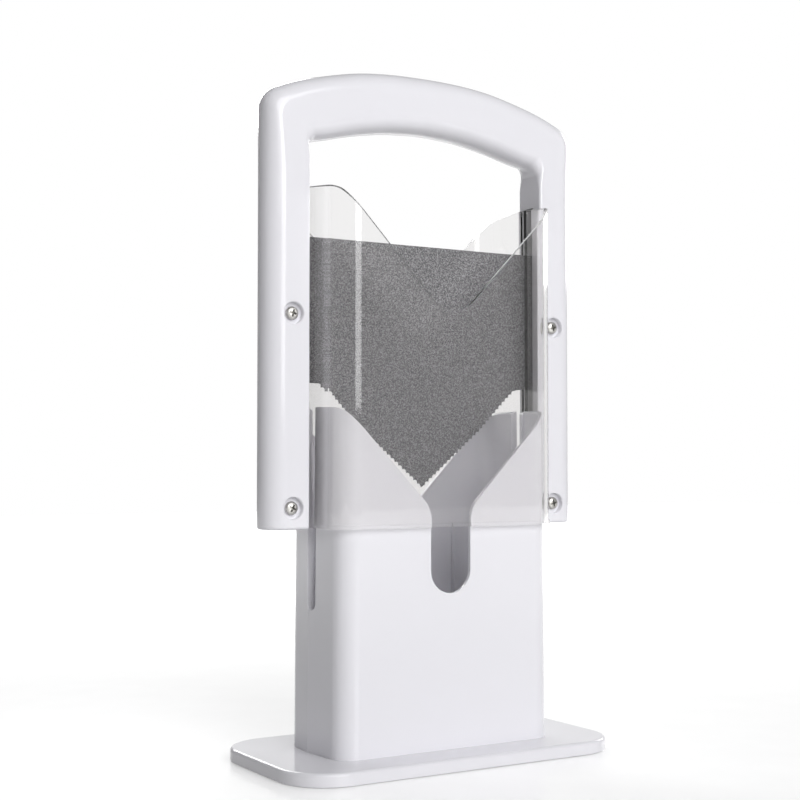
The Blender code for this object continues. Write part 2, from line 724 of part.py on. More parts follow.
def build_handle_half(name, toward, parts, cutters):
    """Inverted U of the handle: lofted grip and legs, hollow, with clamp pockets and bosses."""
    shape = bmesh.new()
    rings = [
        [shape.verts.new(point) for point in handle_section(inner, outer, edge, toward)]
        for inner, outer, edge in all_stations()
    ]
    count = len(rings[0])
    for ring, following in zip(rings, rings[1:]):
        for k in range(count):
            n = (k + 1) % count
            shape.faces.new((ring[k], ring[n], following[n], following[k]))
    shape.faces.new(rings[0])
    shape.faces.new(rings[-1])
    half = place(name, to_mesh(name, shape), parts)
    shade_round(half)
    soften(half, LEG_FOOT_RADIUS, LEG_FOOT_STEPS, lambda co: co.z < LEG_BOTTOM + WELD
           and abs(co.y) > SEAM_OFFSET + WELD)

    inside, outside = [], []
    for inner, outer, _ in all_stations():
        start, end = Vector(inner), Vector(outer)
        along = (end - start).normalized()
        near, far = start + along * CORE_WALL, end - along * CORE_WALL
        inside.append((near.x, max(near.y, CORE_BOTTOM)))
        outside.append((far.x, max(far.y, CORE_BOTTOM)))
    reach = span(toward, -OVERSHOOT, CORE_DEPTH)
    core = slab(f"{name}_core", outside + inside[::-1], *reach, "y", cutters)
    combine(half, core, "DIFFERENCE")
    for side in (-1, 1):
        label = "left" if side < 0 else "right"
        near, far = LEG_INNER - OVERSHOOT, POCKET_OUTER
        outline = (
            (side * near, POCKET_BOTTOM),
            (side * far, POCKET_BOTTOM),
            (side * far, POCKET_TOP),
            (side * near, POCKET_TOP),
        )
        reach = span(toward, -OVERSHOOT, POCKET_DEPTH)
        pocket = slab(f"{name}_pocket_{label}", outline, *reach, "y", cutters)
        combine(half, pocket, "DIFFERENCE")
    spots = pair_spots(HANDLE_SCREWS)
    for label, spot in spots.items():
        if spot[1] < CORE_BOTTOM:
            continue
        reach = span(toward, POCKET_DEPTH + TOUCH_GAP, HANDLE_HALF_DEPTH - HANDLE_BOSS_SKIN)
        boss = rod(f"{name}_boss_{label}", HANDLE_BOSS_RADIUS, *reach, spot, "y", cutters)
        combine(half, boss, "UNION")
    for label, spot in spots.items():
        if toward < 0:
            reach = span(toward, -OVERSHOOT, HANDLE_HALF_DEPTH + OVERSHOOT)
            sink_reach = span(toward, HANDLE_HALF_DEPTH - HANDLE_COUNTERBORE_DEPTH,
                              HANDLE_HALF_DEPTH + OVERSHOOT)
            sink = rod(f"{name}_counterbore_{label}", HANDLE_COUNTERBORE_RADIUS, *sink_reach,
                       spot, "y", cutters)
            combine(half, sink, "DIFFERENCE")
        else:
            reach = span(toward, -OVERSHOOT, HANDLE_HALF_DEPTH - HANDLE_PILOT_SKIN)
        hole = rod(f"{name}_hole_{label}", HOLE_RADIUS, *reach, spot, "y", cutters)
        combine(half, hole, "DIFFERENCE")
    paint(half, WHITE_PLASTIC)
    return half


def span(toward, near, far):
    """Start and end along Y of something that lies between two distances from the blade plane."""
    return (near, far) if toward > 0 else (-far, -near)


def build_blade(parts, cutters):
    """Flat blade with square ends in the legs and a scalloped V edge."""
    arm = [Vector(point) for point in BLADE_ARM]
    lengths = [(b - a).length for a, b in zip(arm, arm[1:])]
    total = sum(lengths)
    count = round(total / SCALLOP_PITCH)
    edge = []
    for scallop in range(count):
        for share in SCALLOP_SHARES:
            distance = total * (scallop + share) / count
            for k, length in enumerate(lengths):
                if distance <= length:
                    break
                distance -= length
            along = (arm[k + 1] - arm[k]) / lengths[k]
            hollow = SCALLOP_DEPTH * math.sin(math.pi * share)
            spot = arm[k] + along * distance - Vector((-along.y, along.x)) * hollow
            edge.append((spot.x, spot.y))
    shoulder = [(BLADE_END, BLADE_END_HEIGHT), (LEG_INNER, BLADE_LEG_HEIGHT)] + list(BLADE_SHOULDER)
    right = [(BLADE_END, 0)] + shoulder + edge
    drops = mirrored(right)
    drops.insert(len(right), BLADE_ARM[-1])
    outline = [(across, BLADE_TOP - drop) for across, drop in drops]
    blade = slab("blade", outline, -BLADE_THICKNESS / 2, BLADE_THICKNESS / 2, "y", parts)
    for label, spot in pair_spots(HANDLE_SCREWS).items():
        if spot[1] < BLADE_TOP - BLADE_END_HEIGHT:
            continue
        hole = rod(f"blade_hole_{label}", HOLE_RADIUS, -OVERSHOOT, OVERSHOOT, spot, "y", cutters)
        combine(blade, hole, "DIFFERENCE")
    paint(blade, COATED_STEEL)
    return blade


def shield_outline(toward, inset, outset):
    """Plan of a shield wall between two offsets from its outer face."""
    near = toward * FLANGE_NEAR
    far = toward * (SHIELD_DEPTH + outset)
    back = toward * (SHIELD_DEPTH - inset)

    def side(y, offset):
        return SHIELD_HALF_WIDTH + offset - HOLDER_TAPER * abs(y)

    right = (
        (side(far, outset), far, SHIELD_CORNER_RADIUS + outset),
        (side(near, outset), near, 0),
        (side(near, -inset), near, 0),
        (side(back, -inset), back, SHIELD_CORNER_RADIUS - inset),
    )
    return rounded(mirrored(right))


def build_shield(name, toward, parts, cutters):
    """Clear channel round one side of the holder, with a V-cut top and flanges in the legs."""
    outline = shield_outline(toward, SHIELD_WALL, 0)
    shield = slab(name, outline, SHIELD_BOTTOM, SHIELD_TOP + OVERSHOOT, "z", parts)
    outline = shield_outline(toward, SHIELD_WALL - SHIELD_LIP_WIDTH, SHIELD_LIP_WIDTH)
    lip_top = SHIELD_BOTTOM + SHIELD_LIP_HEIGHT
    lip = slab(f"{name}_lip", outline, SHIELD_BOTTOM, lip_top, "z", cutters)
    combine(shield, lip, "UNION")
    for side in (-1, 1):
        label = "left" if side < 0 else "right"
        root = SHIELD_HALF_WIDTH - SHIELD_WALL / 2
        outline = (
            (side * root, SHIELD_BOTTOM),
            (side * FLANGE_STEP, SHIELD_BOTTOM),
            (side * FLANGE_STEP, FLANGE_TAB_BOTTOM),
            (side * FLANGE_OUTER, FLANGE_TAB_BOTTOM),
            (side * FLANGE_OUTER, SHIELD_TOP + OVERSHOOT),
            (side * root, SHIELD_TOP + OVERSHOOT),
        )
        reach = span(toward, FLANGE_NEAR, FLANGE_FAR)
        flange = slab(f"{name}_flange_{label}", outline, *reach, "y", cutters)
        combine(shield, flange, "UNION")
    wide = FLANGE_OUTER + OVERSHOOT
    high = SHIELD_TOP + 2 * OVERSHOOT
    corners = (
        (0, SHIELD_MOUTH_START, SHIELD_MOUTH_RADIUS),
        (SHIELD_MOUTH_HALF_WIDTH, SHIELD_TOP, SHIELD_HORN_RADIUS),
        (wide, SHIELD_TOP, 0),
        (wide, high, 0),
        (-wide, high, 0),
        (-wide, SHIELD_TOP, 0),
        (-SHIELD_MOUTH_HALF_WIDTH, SHIELD_TOP, SHIELD_HORN_RADIUS),
    )
    reach = span(toward, -OVERSHOOT, SHIELD_DEPTH + OVERSHOOT)
    mouth = slab(f"{name}_mouth", rounded(corners), *reach, "y", cutters)
    combine(shield, mouth, "DIFFERENCE")
    for label, spot in pair_spots(HANDLE_SCREWS).items():
        reach = span(toward, 0, FLANGE_FAR + OVERSHOOT)
        hole = rod(f"{name}_hole_{label}", HOLE_RADIUS, *reach, spot, "y", cutters)
        combine(shield, hole, "DIFFERENCE")
    paint(shield, CLEAR_PLASTIC)
    return shield


def build_screws(parts):
    """All the screws, each a piece of its own. Returns those that travel with the cutter."""
    moving = []
    for label, (across, along) in base_screw_spots().items():
        spot = (across, along, BASE_COUNTERBORE_DEPTH - TOUCH_GAP)
        add_screw(f"base_screw_{label}", BASE_SCREW_LENGTH, spot, (0, 0, -1), parts)
    for label, (across, height) in pair_spots(SHELL_SCREWS).items():
        spot = (across, SHELL_SEAT + TOUCH_GAP, height)
        add_screw(f"holder_screw_{label}", SHELL_SCREW_LENGTH, spot, (0, 1, 0), parts)
    seat = HANDLE_HALF_DEPTH - HANDLE_COUNTERBORE_DEPTH + TOUCH_GAP
    for label, (across, height) in pair_spots(HANDLE_SCREWS).items():
        spot = (across, -seat, height)
        screw = add_screw(f"handle_screw_{label}", HANDLE_SCREW_LENGTH, spot, (0, -1, 0), parts)
        moving.append(screw)
    return moving


def main():
    """Build every piece and hang the moving ones on the slide axis."""
    clear_file()
    parts = new_group(OBJECT_NAME)
    cutters = new_group(OBJECT_NAME + "_cutters")
    build_base(parts, cutters)
    mouth = build_mouth(cutters)
    side_slot = build_side_slot(cutters)
    build_shell("holder_front_shell", -1, mouth, side_slot, parts, cutters)
    build_shell("holder_rear_shell", 1, mouth, side_slot, parts, cutters)
    moving = [
        build_handle_half("handle_front_half", -1, parts, cutters),
        build_handle_half("handle_rear_half", 1, parts, cutters),
        build_shield("front_shield", -1, parts, cutters),
        build_shield("rear_shield", 1, parts, cutters),
        build_blade(parts, cutters),
    ]
    moving += build_screws(parts)
    slide = bpy.data.objects.new("cutter_slide", None)
    parts.objects.link(slide)
    for piece in moving:
        piece.parent = slide


main()
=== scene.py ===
"""Bagel guillotine slicer, dressed for the camera.

A base plate carries a holder of two white shells with a V mouth. The cutter stands raised over it:
two handle halves that clamp a coated blade with a scalloped V edge and two clear shields.

Metres, Z up, front towards -Y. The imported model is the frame: each piece here stands for its solid.
"""

import json
import logging
import math
from dataclasses import dataclass
from enum import Enum
from typing import Callable, Sequence

import bmesh
import bpy
from mathutils import Euler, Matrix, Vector

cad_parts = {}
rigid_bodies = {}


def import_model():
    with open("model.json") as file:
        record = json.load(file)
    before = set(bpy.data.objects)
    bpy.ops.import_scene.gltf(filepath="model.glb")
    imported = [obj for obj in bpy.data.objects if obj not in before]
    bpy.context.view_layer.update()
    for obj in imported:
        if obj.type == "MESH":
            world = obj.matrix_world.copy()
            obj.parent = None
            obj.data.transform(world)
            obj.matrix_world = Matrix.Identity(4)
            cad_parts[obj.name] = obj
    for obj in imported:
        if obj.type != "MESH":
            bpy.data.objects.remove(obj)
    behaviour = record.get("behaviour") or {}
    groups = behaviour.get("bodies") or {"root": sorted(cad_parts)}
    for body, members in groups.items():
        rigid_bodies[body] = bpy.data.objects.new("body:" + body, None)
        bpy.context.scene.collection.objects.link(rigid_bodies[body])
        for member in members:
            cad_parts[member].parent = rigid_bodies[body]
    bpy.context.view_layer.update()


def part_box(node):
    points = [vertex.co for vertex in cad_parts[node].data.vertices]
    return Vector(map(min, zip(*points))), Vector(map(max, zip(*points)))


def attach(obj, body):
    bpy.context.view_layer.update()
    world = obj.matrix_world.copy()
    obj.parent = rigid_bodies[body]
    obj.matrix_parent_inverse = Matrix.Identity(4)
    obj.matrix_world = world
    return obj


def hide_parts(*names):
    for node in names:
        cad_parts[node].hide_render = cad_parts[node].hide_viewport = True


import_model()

LOG = logging.getLogger("slicer")
Point = tuple[float, float]
Corner = tuple[float, float, float]
Colour = tuple[float, float, float, float]
Item = bpy.types.Object
Material = bpy.types.Material
Node = bpy.types.Node
Socket = bpy.types.NodeSocket

WELD = 0.00001
SPARE = 0.006
HAIRLINE = 0.00003
CREASE = math.radians(32)
SQUARE = (-1, -1), (1, -1), (1, 1), (-1, 1)


class Axis(Enum):
    """Way in which a flat outline is drawn out into a solid."""

    ACROSS = "x"
    DEEP = "y"
    UP = "z"

    def place(self, u: float, v: float, along: float) -> Corner:
        """Point in space of a point of the outline at a distance along the axis."""
        return {"x": (along, u, v), "y": (u, along, v), "z": (u, v, along)}[self.value]


class Join(Enum):
    """What a second solid does to the first."""

    ADD = "UNION"
    CUT = "DIFFERENCE"
    TRIM = "INTERSECT"


class Side(Enum):
    """Front or rear of the blade plane."""

    FRONT = -1
    REAR = 1

    def span(self, near: float, far: float) -> Point:
        """Start and end along Y of what lies between two distances from the blade plane."""
        return (near, far) if self is Side.REAR else (-far, -near)


class Hand(Enum):
    """Left or right of the middle."""

    LEFT = -1
    RIGHT = 1


def arc(centre: Point, radius: float, start: float, end: float, steps: int) -> list[Point]:
    """Points of an arc.

    Args:
        centre: Middle of the circle.
        radius: Radius of the circle.
        start: First angle in degrees.
        end: Last angle in degrees.
        steps: Number of chords.

    Returns:
        The points, both ends among them.
    """
    angles = [math.radians(start + (end - start) * k / steps) for k in range(steps + 1)]
    return [(centre[0] + radius * math.cos(a), centre[1] + radius * math.sin(a)) for a in angles]


def rounded(corners: Sequence[Corner], steps: int) -> list[Point]:
    """Closed outline from corners that each have their own radius.

    Args:
        corners: Places of the corners, with the radius third.
        steps: Chords of each rounded corner.

    Returns:
        The points of the outline.
    """
    outline: list[Point] = []
    for k, (u, v, radius) in enumerate(corners):
        here = Vector((u, v))
        if radius == 0:
            outline.append((u, v))
            continue
        before = (Vector(corners[k - 1][:2]) - here).normalized()
        after = (Vector(corners[(k + 1) % len(corners)][:2]) - here).normalized()
        half = before.angle(after) / 2
        centre = here + (before + after).normalized() * radius / math.sin(half)
        arm = here + before * radius / math.tan(half) - centre
        turn = (math.pi - 2 * half) * (-1 if before.cross(after) > 0 else 1)
        for step in range(steps + 1):
            angle = turn * step / steps
            spin = Vector((
                arm.x * math.cos(angle) - arm.y * math.sin(angle),
                arm.x * math.sin(angle) + arm.y * math.cos(angle),
            ))
            outline.append(tuple(centre + spin))
    return outline


def mirrored(right: Sequence[tuple]) -> list[tuple]:
    """Right half of an outline followed by its mirror image on the left."""
    return list(right) + [(-item[0],) + tuple(item[1:]) for item in reversed(right)]


def screw_places(levels: dict[str, Corner]) -> dict[str, Corner]:
    """Left and right place on each named level, from the right one."""
    return {
        f"{level}_{hand.name.lower()}": (hand.value * across, along, height)
        for level, (across, along, height) in levels.items()
        for hand in Hand
    }


def follow(line: Sequence[Point], across: float) -> float:
    """Value of a line of points at a distance across, eased through its points.

    Args:
        line: Points of the line, from the middle outwards.
        across: Distance from the middle.

    Returns:
        The eased value, level at the middle.
    """
    slopes = [0.0]
    grades = [(b[1] - a[1]) / (b[0] - a[0]) for a, b in zip(line, line[1:])]
    slopes += [2 * a * b / (a + b) for a, b in zip(grades, grades[1:])]
    slopes.append(grades[-1])
    k = next((k for k in range(len(line) - 1) if across <= line[k + 1][0]), len(line) - 2)
    (u0, v0), (u1, v1) = line[k], line[k + 1]
    width, rise = u1 - u0, v1 - v0
    t = (across - u0) / width
    start, end = slopes[k] * width, slopes[k + 1] * width
    return v0 + start * t + (3 * rise - 2 * start - end) * t**2 + (start + end - 2 * rise) * t**3


class NodeBench:
    """Short way to add and link the nodes of one tree."""

    def __init__(self, tree: bpy.types.NodeTree) -> None:
        """Keep the tree that the nodes go into."""
        self.tree = tree

    def add(self, kind: str, values: dict | None = None, **settings: object) -> Node:
        """Add one node.

        Args:
            kind: Blender's name of the node type.
            values: Values or outputs for its inputs, by name or place.
            **settings: Properties of the node.

        Returns:
            The node.
        """
        node = self.tree.nodes.new(kind)
        for key, value in settings.items():
            setattr(node, key, value)
        self.fill(node, values or {})
        return node

    def fill(self, node: Node, values: dict) -> None:
        """Set or link inputs of a node, by name or place."""
        for socket, value in values.items():
            if isinstance(value, Socket):
                self.tree.links.new(value, node.inputs[socket])
            else:
                node.inputs[socket].default_value = value

    def math(self, operation: str, first: object, second: object = 0.0) -> Socket:
        """Result of a sum of two values in a shader or geometry tree."""
        return self.add("ShaderNodeMath", {0: first, 1: second}, operation=operation).outputs[0]

    def noise(self, coordinates: object, scale: float, detail: float = 2.0) -> Socket:
        """Even noise over a surface, at a scale in grains per metre."""
        inputs = {"Vector": coordinates, "Scale": scale, "Detail": detail}
        return self.add("ShaderNodeTexNoise", inputs).outputs["Fac"]

    def spread(self, value: object, low: float, high: float, inner: float = 0.3) -> object:
        """Noise stretched over a range of values, with its middle part filling the range."""
        inputs = {
            "Value": value, "From Min": inner, "From Max": 1 - inner, "To Min": low, "To Max": high,
        }
        return self.add("ShaderNodeMapRange", inputs).outputs["Result"]

    def ease(self, value: object, reach: Point, low: float, high: float) -> Socket:
        """Smooth rise from low to high as a value crosses a reach."""
        start, end = reach
        inputs = {
            "Value": value, "From Min": start, "From Max": end, "To Min": low, "To Max": high,
        }
        node = self.add("ShaderNodeMapRange", inputs, interpolation_type="SMOOTHSTEP")
        return node.outputs["Result"]

    def tones(self, value: object, stops: Sequence[tuple[float, Colour]]) -> Socket:
        """Colour that runs through stops as a value goes from 0 to 1."""
        node = self.add("ShaderNodeValToRGB", {"Fac": value})
        ramp = node.color_ramp
        ramp.elements[0].position, ramp.elements[0].color = stops[0]
        ramp.elements[1].position, ramp.elements[1].color = stops[-1]
        for position, colour in stops[1:-1]:
            ramp.elements.new(position).color = colour
        return node.outputs["Color"]

    def bump(self, height: object, strength: float, distance: float) -> Socket:
        """Normal of a surface with a fine relief."""
        inputs = {"Height": height, "Strength": strength, "Distance": distance}
        return self.add("ShaderNodeBump", inputs).outputs["Normal"]


def new_surface(name: str) -> tuple[Material, NodeBench, Node, object]:
    """Start a material.

    Args:
        name: Name of the material.

    Returns:
        The material, its node bench, its shader and its object coordinates.
    """
    material = bpy.data.materials.new(name)
    material.use_nodes = True
    bench = NodeBench(material.node_tree)
    shader = material.node_tree.nodes["Principled BSDF"]
    coordinates = bench.add("ShaderNodeTexCoord").outputs["Object"]
    return material, bench, shader, coordinates


@dataclass(frozen=True)
class Finish:
    """Surface of one material."""

    name: str

    def inputs(self, bench: NodeBench, place: object) -> dict[str, object]:
        """Values and outputs for the shader, from the object coordinates."""
        raise NotImplementedError

    def build(self) -> Material:
        """Make the material."""
        material, bench, shader, place = new_surface(self.name)
        bench.fill(shader, self.inputs(bench, place))
        return material


@dataclass(frozen=True)
class MouldedPlastic(Finish):
    """White injection-moulded plastic: even, half glossy, with a faint moulded skin."""

    name: str = "moulded_white_plastic"
    light: Colour = (0.875, 0.868, 0.91, 1.0)
    shade: Colour = (0.866, 0.859, 0.901, 1.0)
    gloss: Point = (0.1, 0.14)
    flow_scale: float = 14.0
    skin_scale: float = 2400.0
    skin_height: float = 0.00005
    skin_strength: float = 0.08

    def inputs(self, bench: NodeBench, place: object) -> dict[str, object]:
        """Values and outputs for the shader, from the object coordinates."""
        flow = bench.noise(place, self.flow_scale, 3.0)
        tone = bench.tones(flow, ((0.35, self.shade), (0.65, self.light)))
        wear = bench.spread(bench.noise(place, self.flow_scale * 5), *self.gloss)
        skin = bench.bump(bench.noise(place, self.skin_scale), self.skin_strength, self.skin_height)
        return {"Base Color": tone, "Roughness": wear, "Normal": skin, "IOR": 1.5}


@dataclass(frozen=True)
class ClearPlastic(Finish):
    """Polished clear plastic with slight ripples from moulding and a haze of fine scuffs."""

    name: str = "clear_polished_plastic"
    tint: Colour = (0.9, 0.894, 0.892, 1.0)
    gloss: Point = (0.015, 0.05)
    cut_gloss: float = 0.42
    scuff_scale: float = 260.0
    ripple_scale: float = 26.0
    ripple_height: float = 0.0006
    ripple_strength: float = 0.06

    def inputs(self, bench: NodeBench, place: object) -> dict[str, object]:
        """Values and outputs for the shader, from the object coordinates."""
        scuffs = bench.spread(bench.noise(place, self.scuff_scale, 4.0), *self.gloss)
        facing = bench.add("ShaderNodeTexCoord").outputs["Normal"]
        rise = bench.add("ShaderNodeSeparateXYZ", {0: facing}).outputs["Z"]
        cut = bench.spread(bench.math("ABSOLUTE", rise), 0.0, self.cut_gloss, 0.2)
        scuffs = bench.math("MAXIMUM", scuffs, cut)
        waves = bench.noise(place, self.ripple_scale, 1.0)
        ripples = bench.bump(waves, self.ripple_strength, self.ripple_height)
        return {
            "Base Color": self.tint, "Roughness": scuffs, "Normal": ripples, "IOR": 1.49,
            "Transmission Weight": 1.0,
        }


@dataclass(frozen=True)
class CoatedSteel(Finish):
    """Steel with a dark grey non-stick coat, speckled with fine lighter grains."""

    name: str = "speckled_coated_steel"
    pit: Colour = (0.095, 0.094, 0.098, 1.0)
    coat: Colour = (0.175, 0.172, 0.179, 1.0)
    grain: Colour = (0.31, 0.306, 0.315, 1.0)
    gloss: Point = (0.42, 0.54)
    grain_scale: float = 1500.0
    grain_height: float = 0.00015
    grain_strength: float = 0.25
    metal_share: float = 0.55

    def inputs(self, bench: NodeBench, place: object) -> dict[str, object]:
        """Values and outputs for the shader, from the object coordinates."""
        grains = bench.noise(place, self.grain_scale, 1.0)
        tone = bench.tones(grains, ((0.34, self.pit), (0.5, self.coat), (0.66, self.grain)))
        wear = bench.spread(bench.noise(place, self.grain_scale / 8), *self.gloss)
        relief = bench.bump(grains, self.grain_strength, self.grain_height)
        return {
            "Base Color": tone, "Roughness": wear, "Normal": relief, "IOR": 1.5,
            "Metallic": self.metal_share,
        }


@dataclass(frozen=True)
class PlatedSteel(Finish):
    """Nickel-plated screw steel with fine marks of turning and patches of a duller film."""

    name: str = "plated_screw_steel"
    bright: Colour = (0.62, 0.61, 0.585, 1.0)
    dull: Colour = (0.42, 0.41, 0.39, 1.0)
    gloss: Point = (0.28, 0.42)
    mark_scale: float = 900.0
    mark_height: float = 0.0001
    mark_strength: float = 0.1

    def inputs(self, bench: NodeBench, place: object) -> dict[str, object]:
        """Values and outputs for the shader, from the object coordinates."""
        film = bench.noise(place, self.mark_scale, 3.0)
        tone = bench.tones(film, ((0.35, self.dull), (0.6, self.bright)))
        wear = bench.spread(bench.noise(place, self.mark_scale * 2), *self.gloss)
        turning = bench.noise(place, self.mark_scale * 4)
        marks = bench.bump(turning, self.mark_strength, self.mark_height)
        return {"Base Color": tone, "Roughness": wear, "Normal": marks, "Metallic": 1.0}


def set_inputs(modifier: bpy.types.NodesModifier, values: dict[str, object]) -> None:
    """Set the named inputs of a Geometry Nodes modifier by their identifiers."""
    for item in modifier.node_group.interface.items_tree:
        if item.item_type == "SOCKET" and item.in_out == "INPUT" and item.name in values:
            modifier[item.identifier] = values[item.name]


def new_tree(name: str, inputs: dict[str, str]) -> tuple[NodeBench, dict[str, object]]:
    """Start a Geometry Nodes tree.

    Args:
        name: Name of the tree.
        inputs: Kinds of its inputs, by their names.

    Returns:
        The node bench, and the group's outputs by the names of the inputs.
    """
    tree = bpy.data.node_groups.new(name, "GeometryNodeTree")
    for label, kind in inputs.items():
        tree.interface.new_socket(name=label, in_out="INPUT", socket_type=f"NodeSocket{kind}")
    tree.interface.new_socket(name="Geometry", in_out="OUTPUT", socket_type="NodeSocketGeometry")
    bench = NodeBench(tree)
    entry = bench.add("NodeGroupInput")
    return bench, {label: entry.outputs[label] for label in inputs}


def end_tree(bench: NodeBench, geometry: object, material: object) -> bpy.types.NodeTree:
    """Realize the copies, set the material and close the tree."""
    real = bench.add("GeometryNodeRealizeInstances", {"Geometry": geometry})
    inputs = {"Geometry": real.outputs[0], "Material": material}
    dressed = bench.add("GeometryNodeSetMaterial", inputs)
    bench.add("NodeGroupOutput", {0: dressed.outputs[0]})
    return bench.tree


def copies_tree() -> bpy.types.NodeTree:
    """Tree that sets a copy of its solid at each spot, each turned about its own axis."""
    bench, given = new_tree("copies_at_spots", {
        "Solid": "Geometry", "Spots": "Object", "Facing": "Vector", "Loose Turn": "Float",
        "Seed": "Int", "Material": "Material",
    })
    spots = bench.add("GeometryNodeObjectInfo", {"Object": given["Spots"]})
    facing = bench.add("FunctionNodeEulerToRotation", {0: given["Facing"]})
    chance = bench.add("FunctionNodeRandomValue", {"Seed": given["Seed"]}, data_type="FLOAT")
    bench.tree.links.new(given["Loose Turn"], chance.inputs[3])
    turn = bench.add("ShaderNodeCombineXYZ", {"Z": chance.outputs[1]})
    spin = bench.add("FunctionNodeEulerToRotation", {0: turn.outputs[0]})
    turned = bench.add("FunctionNodeRotateRotation", {
        "Rotation": facing.outputs[0],
        "Rotate By": spin.outputs[0],
    }, rotation_space="LOCAL")
    copies = bench.add("GeometryNodeInstanceOnPoints", {
        "Points": spots.outputs["Geometry"],
        "Instance": given["Solid"],
        "Rotation": turned.outputs[0],
    })
    return end_tree(bench, copies.outputs[0], given["Material"])


def scallop_tree() -> bpy.types.NodeTree:
    """Tree that hollows scallops of an even pitch along the cutting edge of a blade."""
    bench, given = new_tree("ground_scallops", {
        "Blade": "Geometry", "Pitch": "Float", "Depth": "Float", "Material": "Material",
    })
    run = bench.add("GeometryNodeInputNamedAttribute", {"Name": "run"}, data_type="FLOAT")
    inward = bench.add(
        "GeometryNodeInputNamedAttribute", {"Name": "inward"}, data_type="FLOAT_VECTOR"
    )
    turns = bench.math("DIVIDE", run.outputs[0], given["Pitch"])
    wave = bench.math("SINE", bench.math("MULTIPLY", turns, math.pi))
    bite = bench.math("MULTIPLY", bench.math("ABSOLUTE", wave), given["Depth"])
    inputs = {0: inward.outputs[0], "Scale": bite}
    shift = bench.add("ShaderNodeVectorMath", inputs, operation="SCALE")
    inputs = {"Geometry": given["Blade"], "Offset": shift.outputs[0]}
    moved = bench.add("GeometryNodeSetPosition", inputs)
    return end_tree(bench, moved.outputs[0], given["Material"])


@dataclass(frozen=True)
class Piece:
    """Facts that hand a finished solid over to the frame."""

    name: str
    body: str
    slot: str
    stands_for: tuple[str, ...]


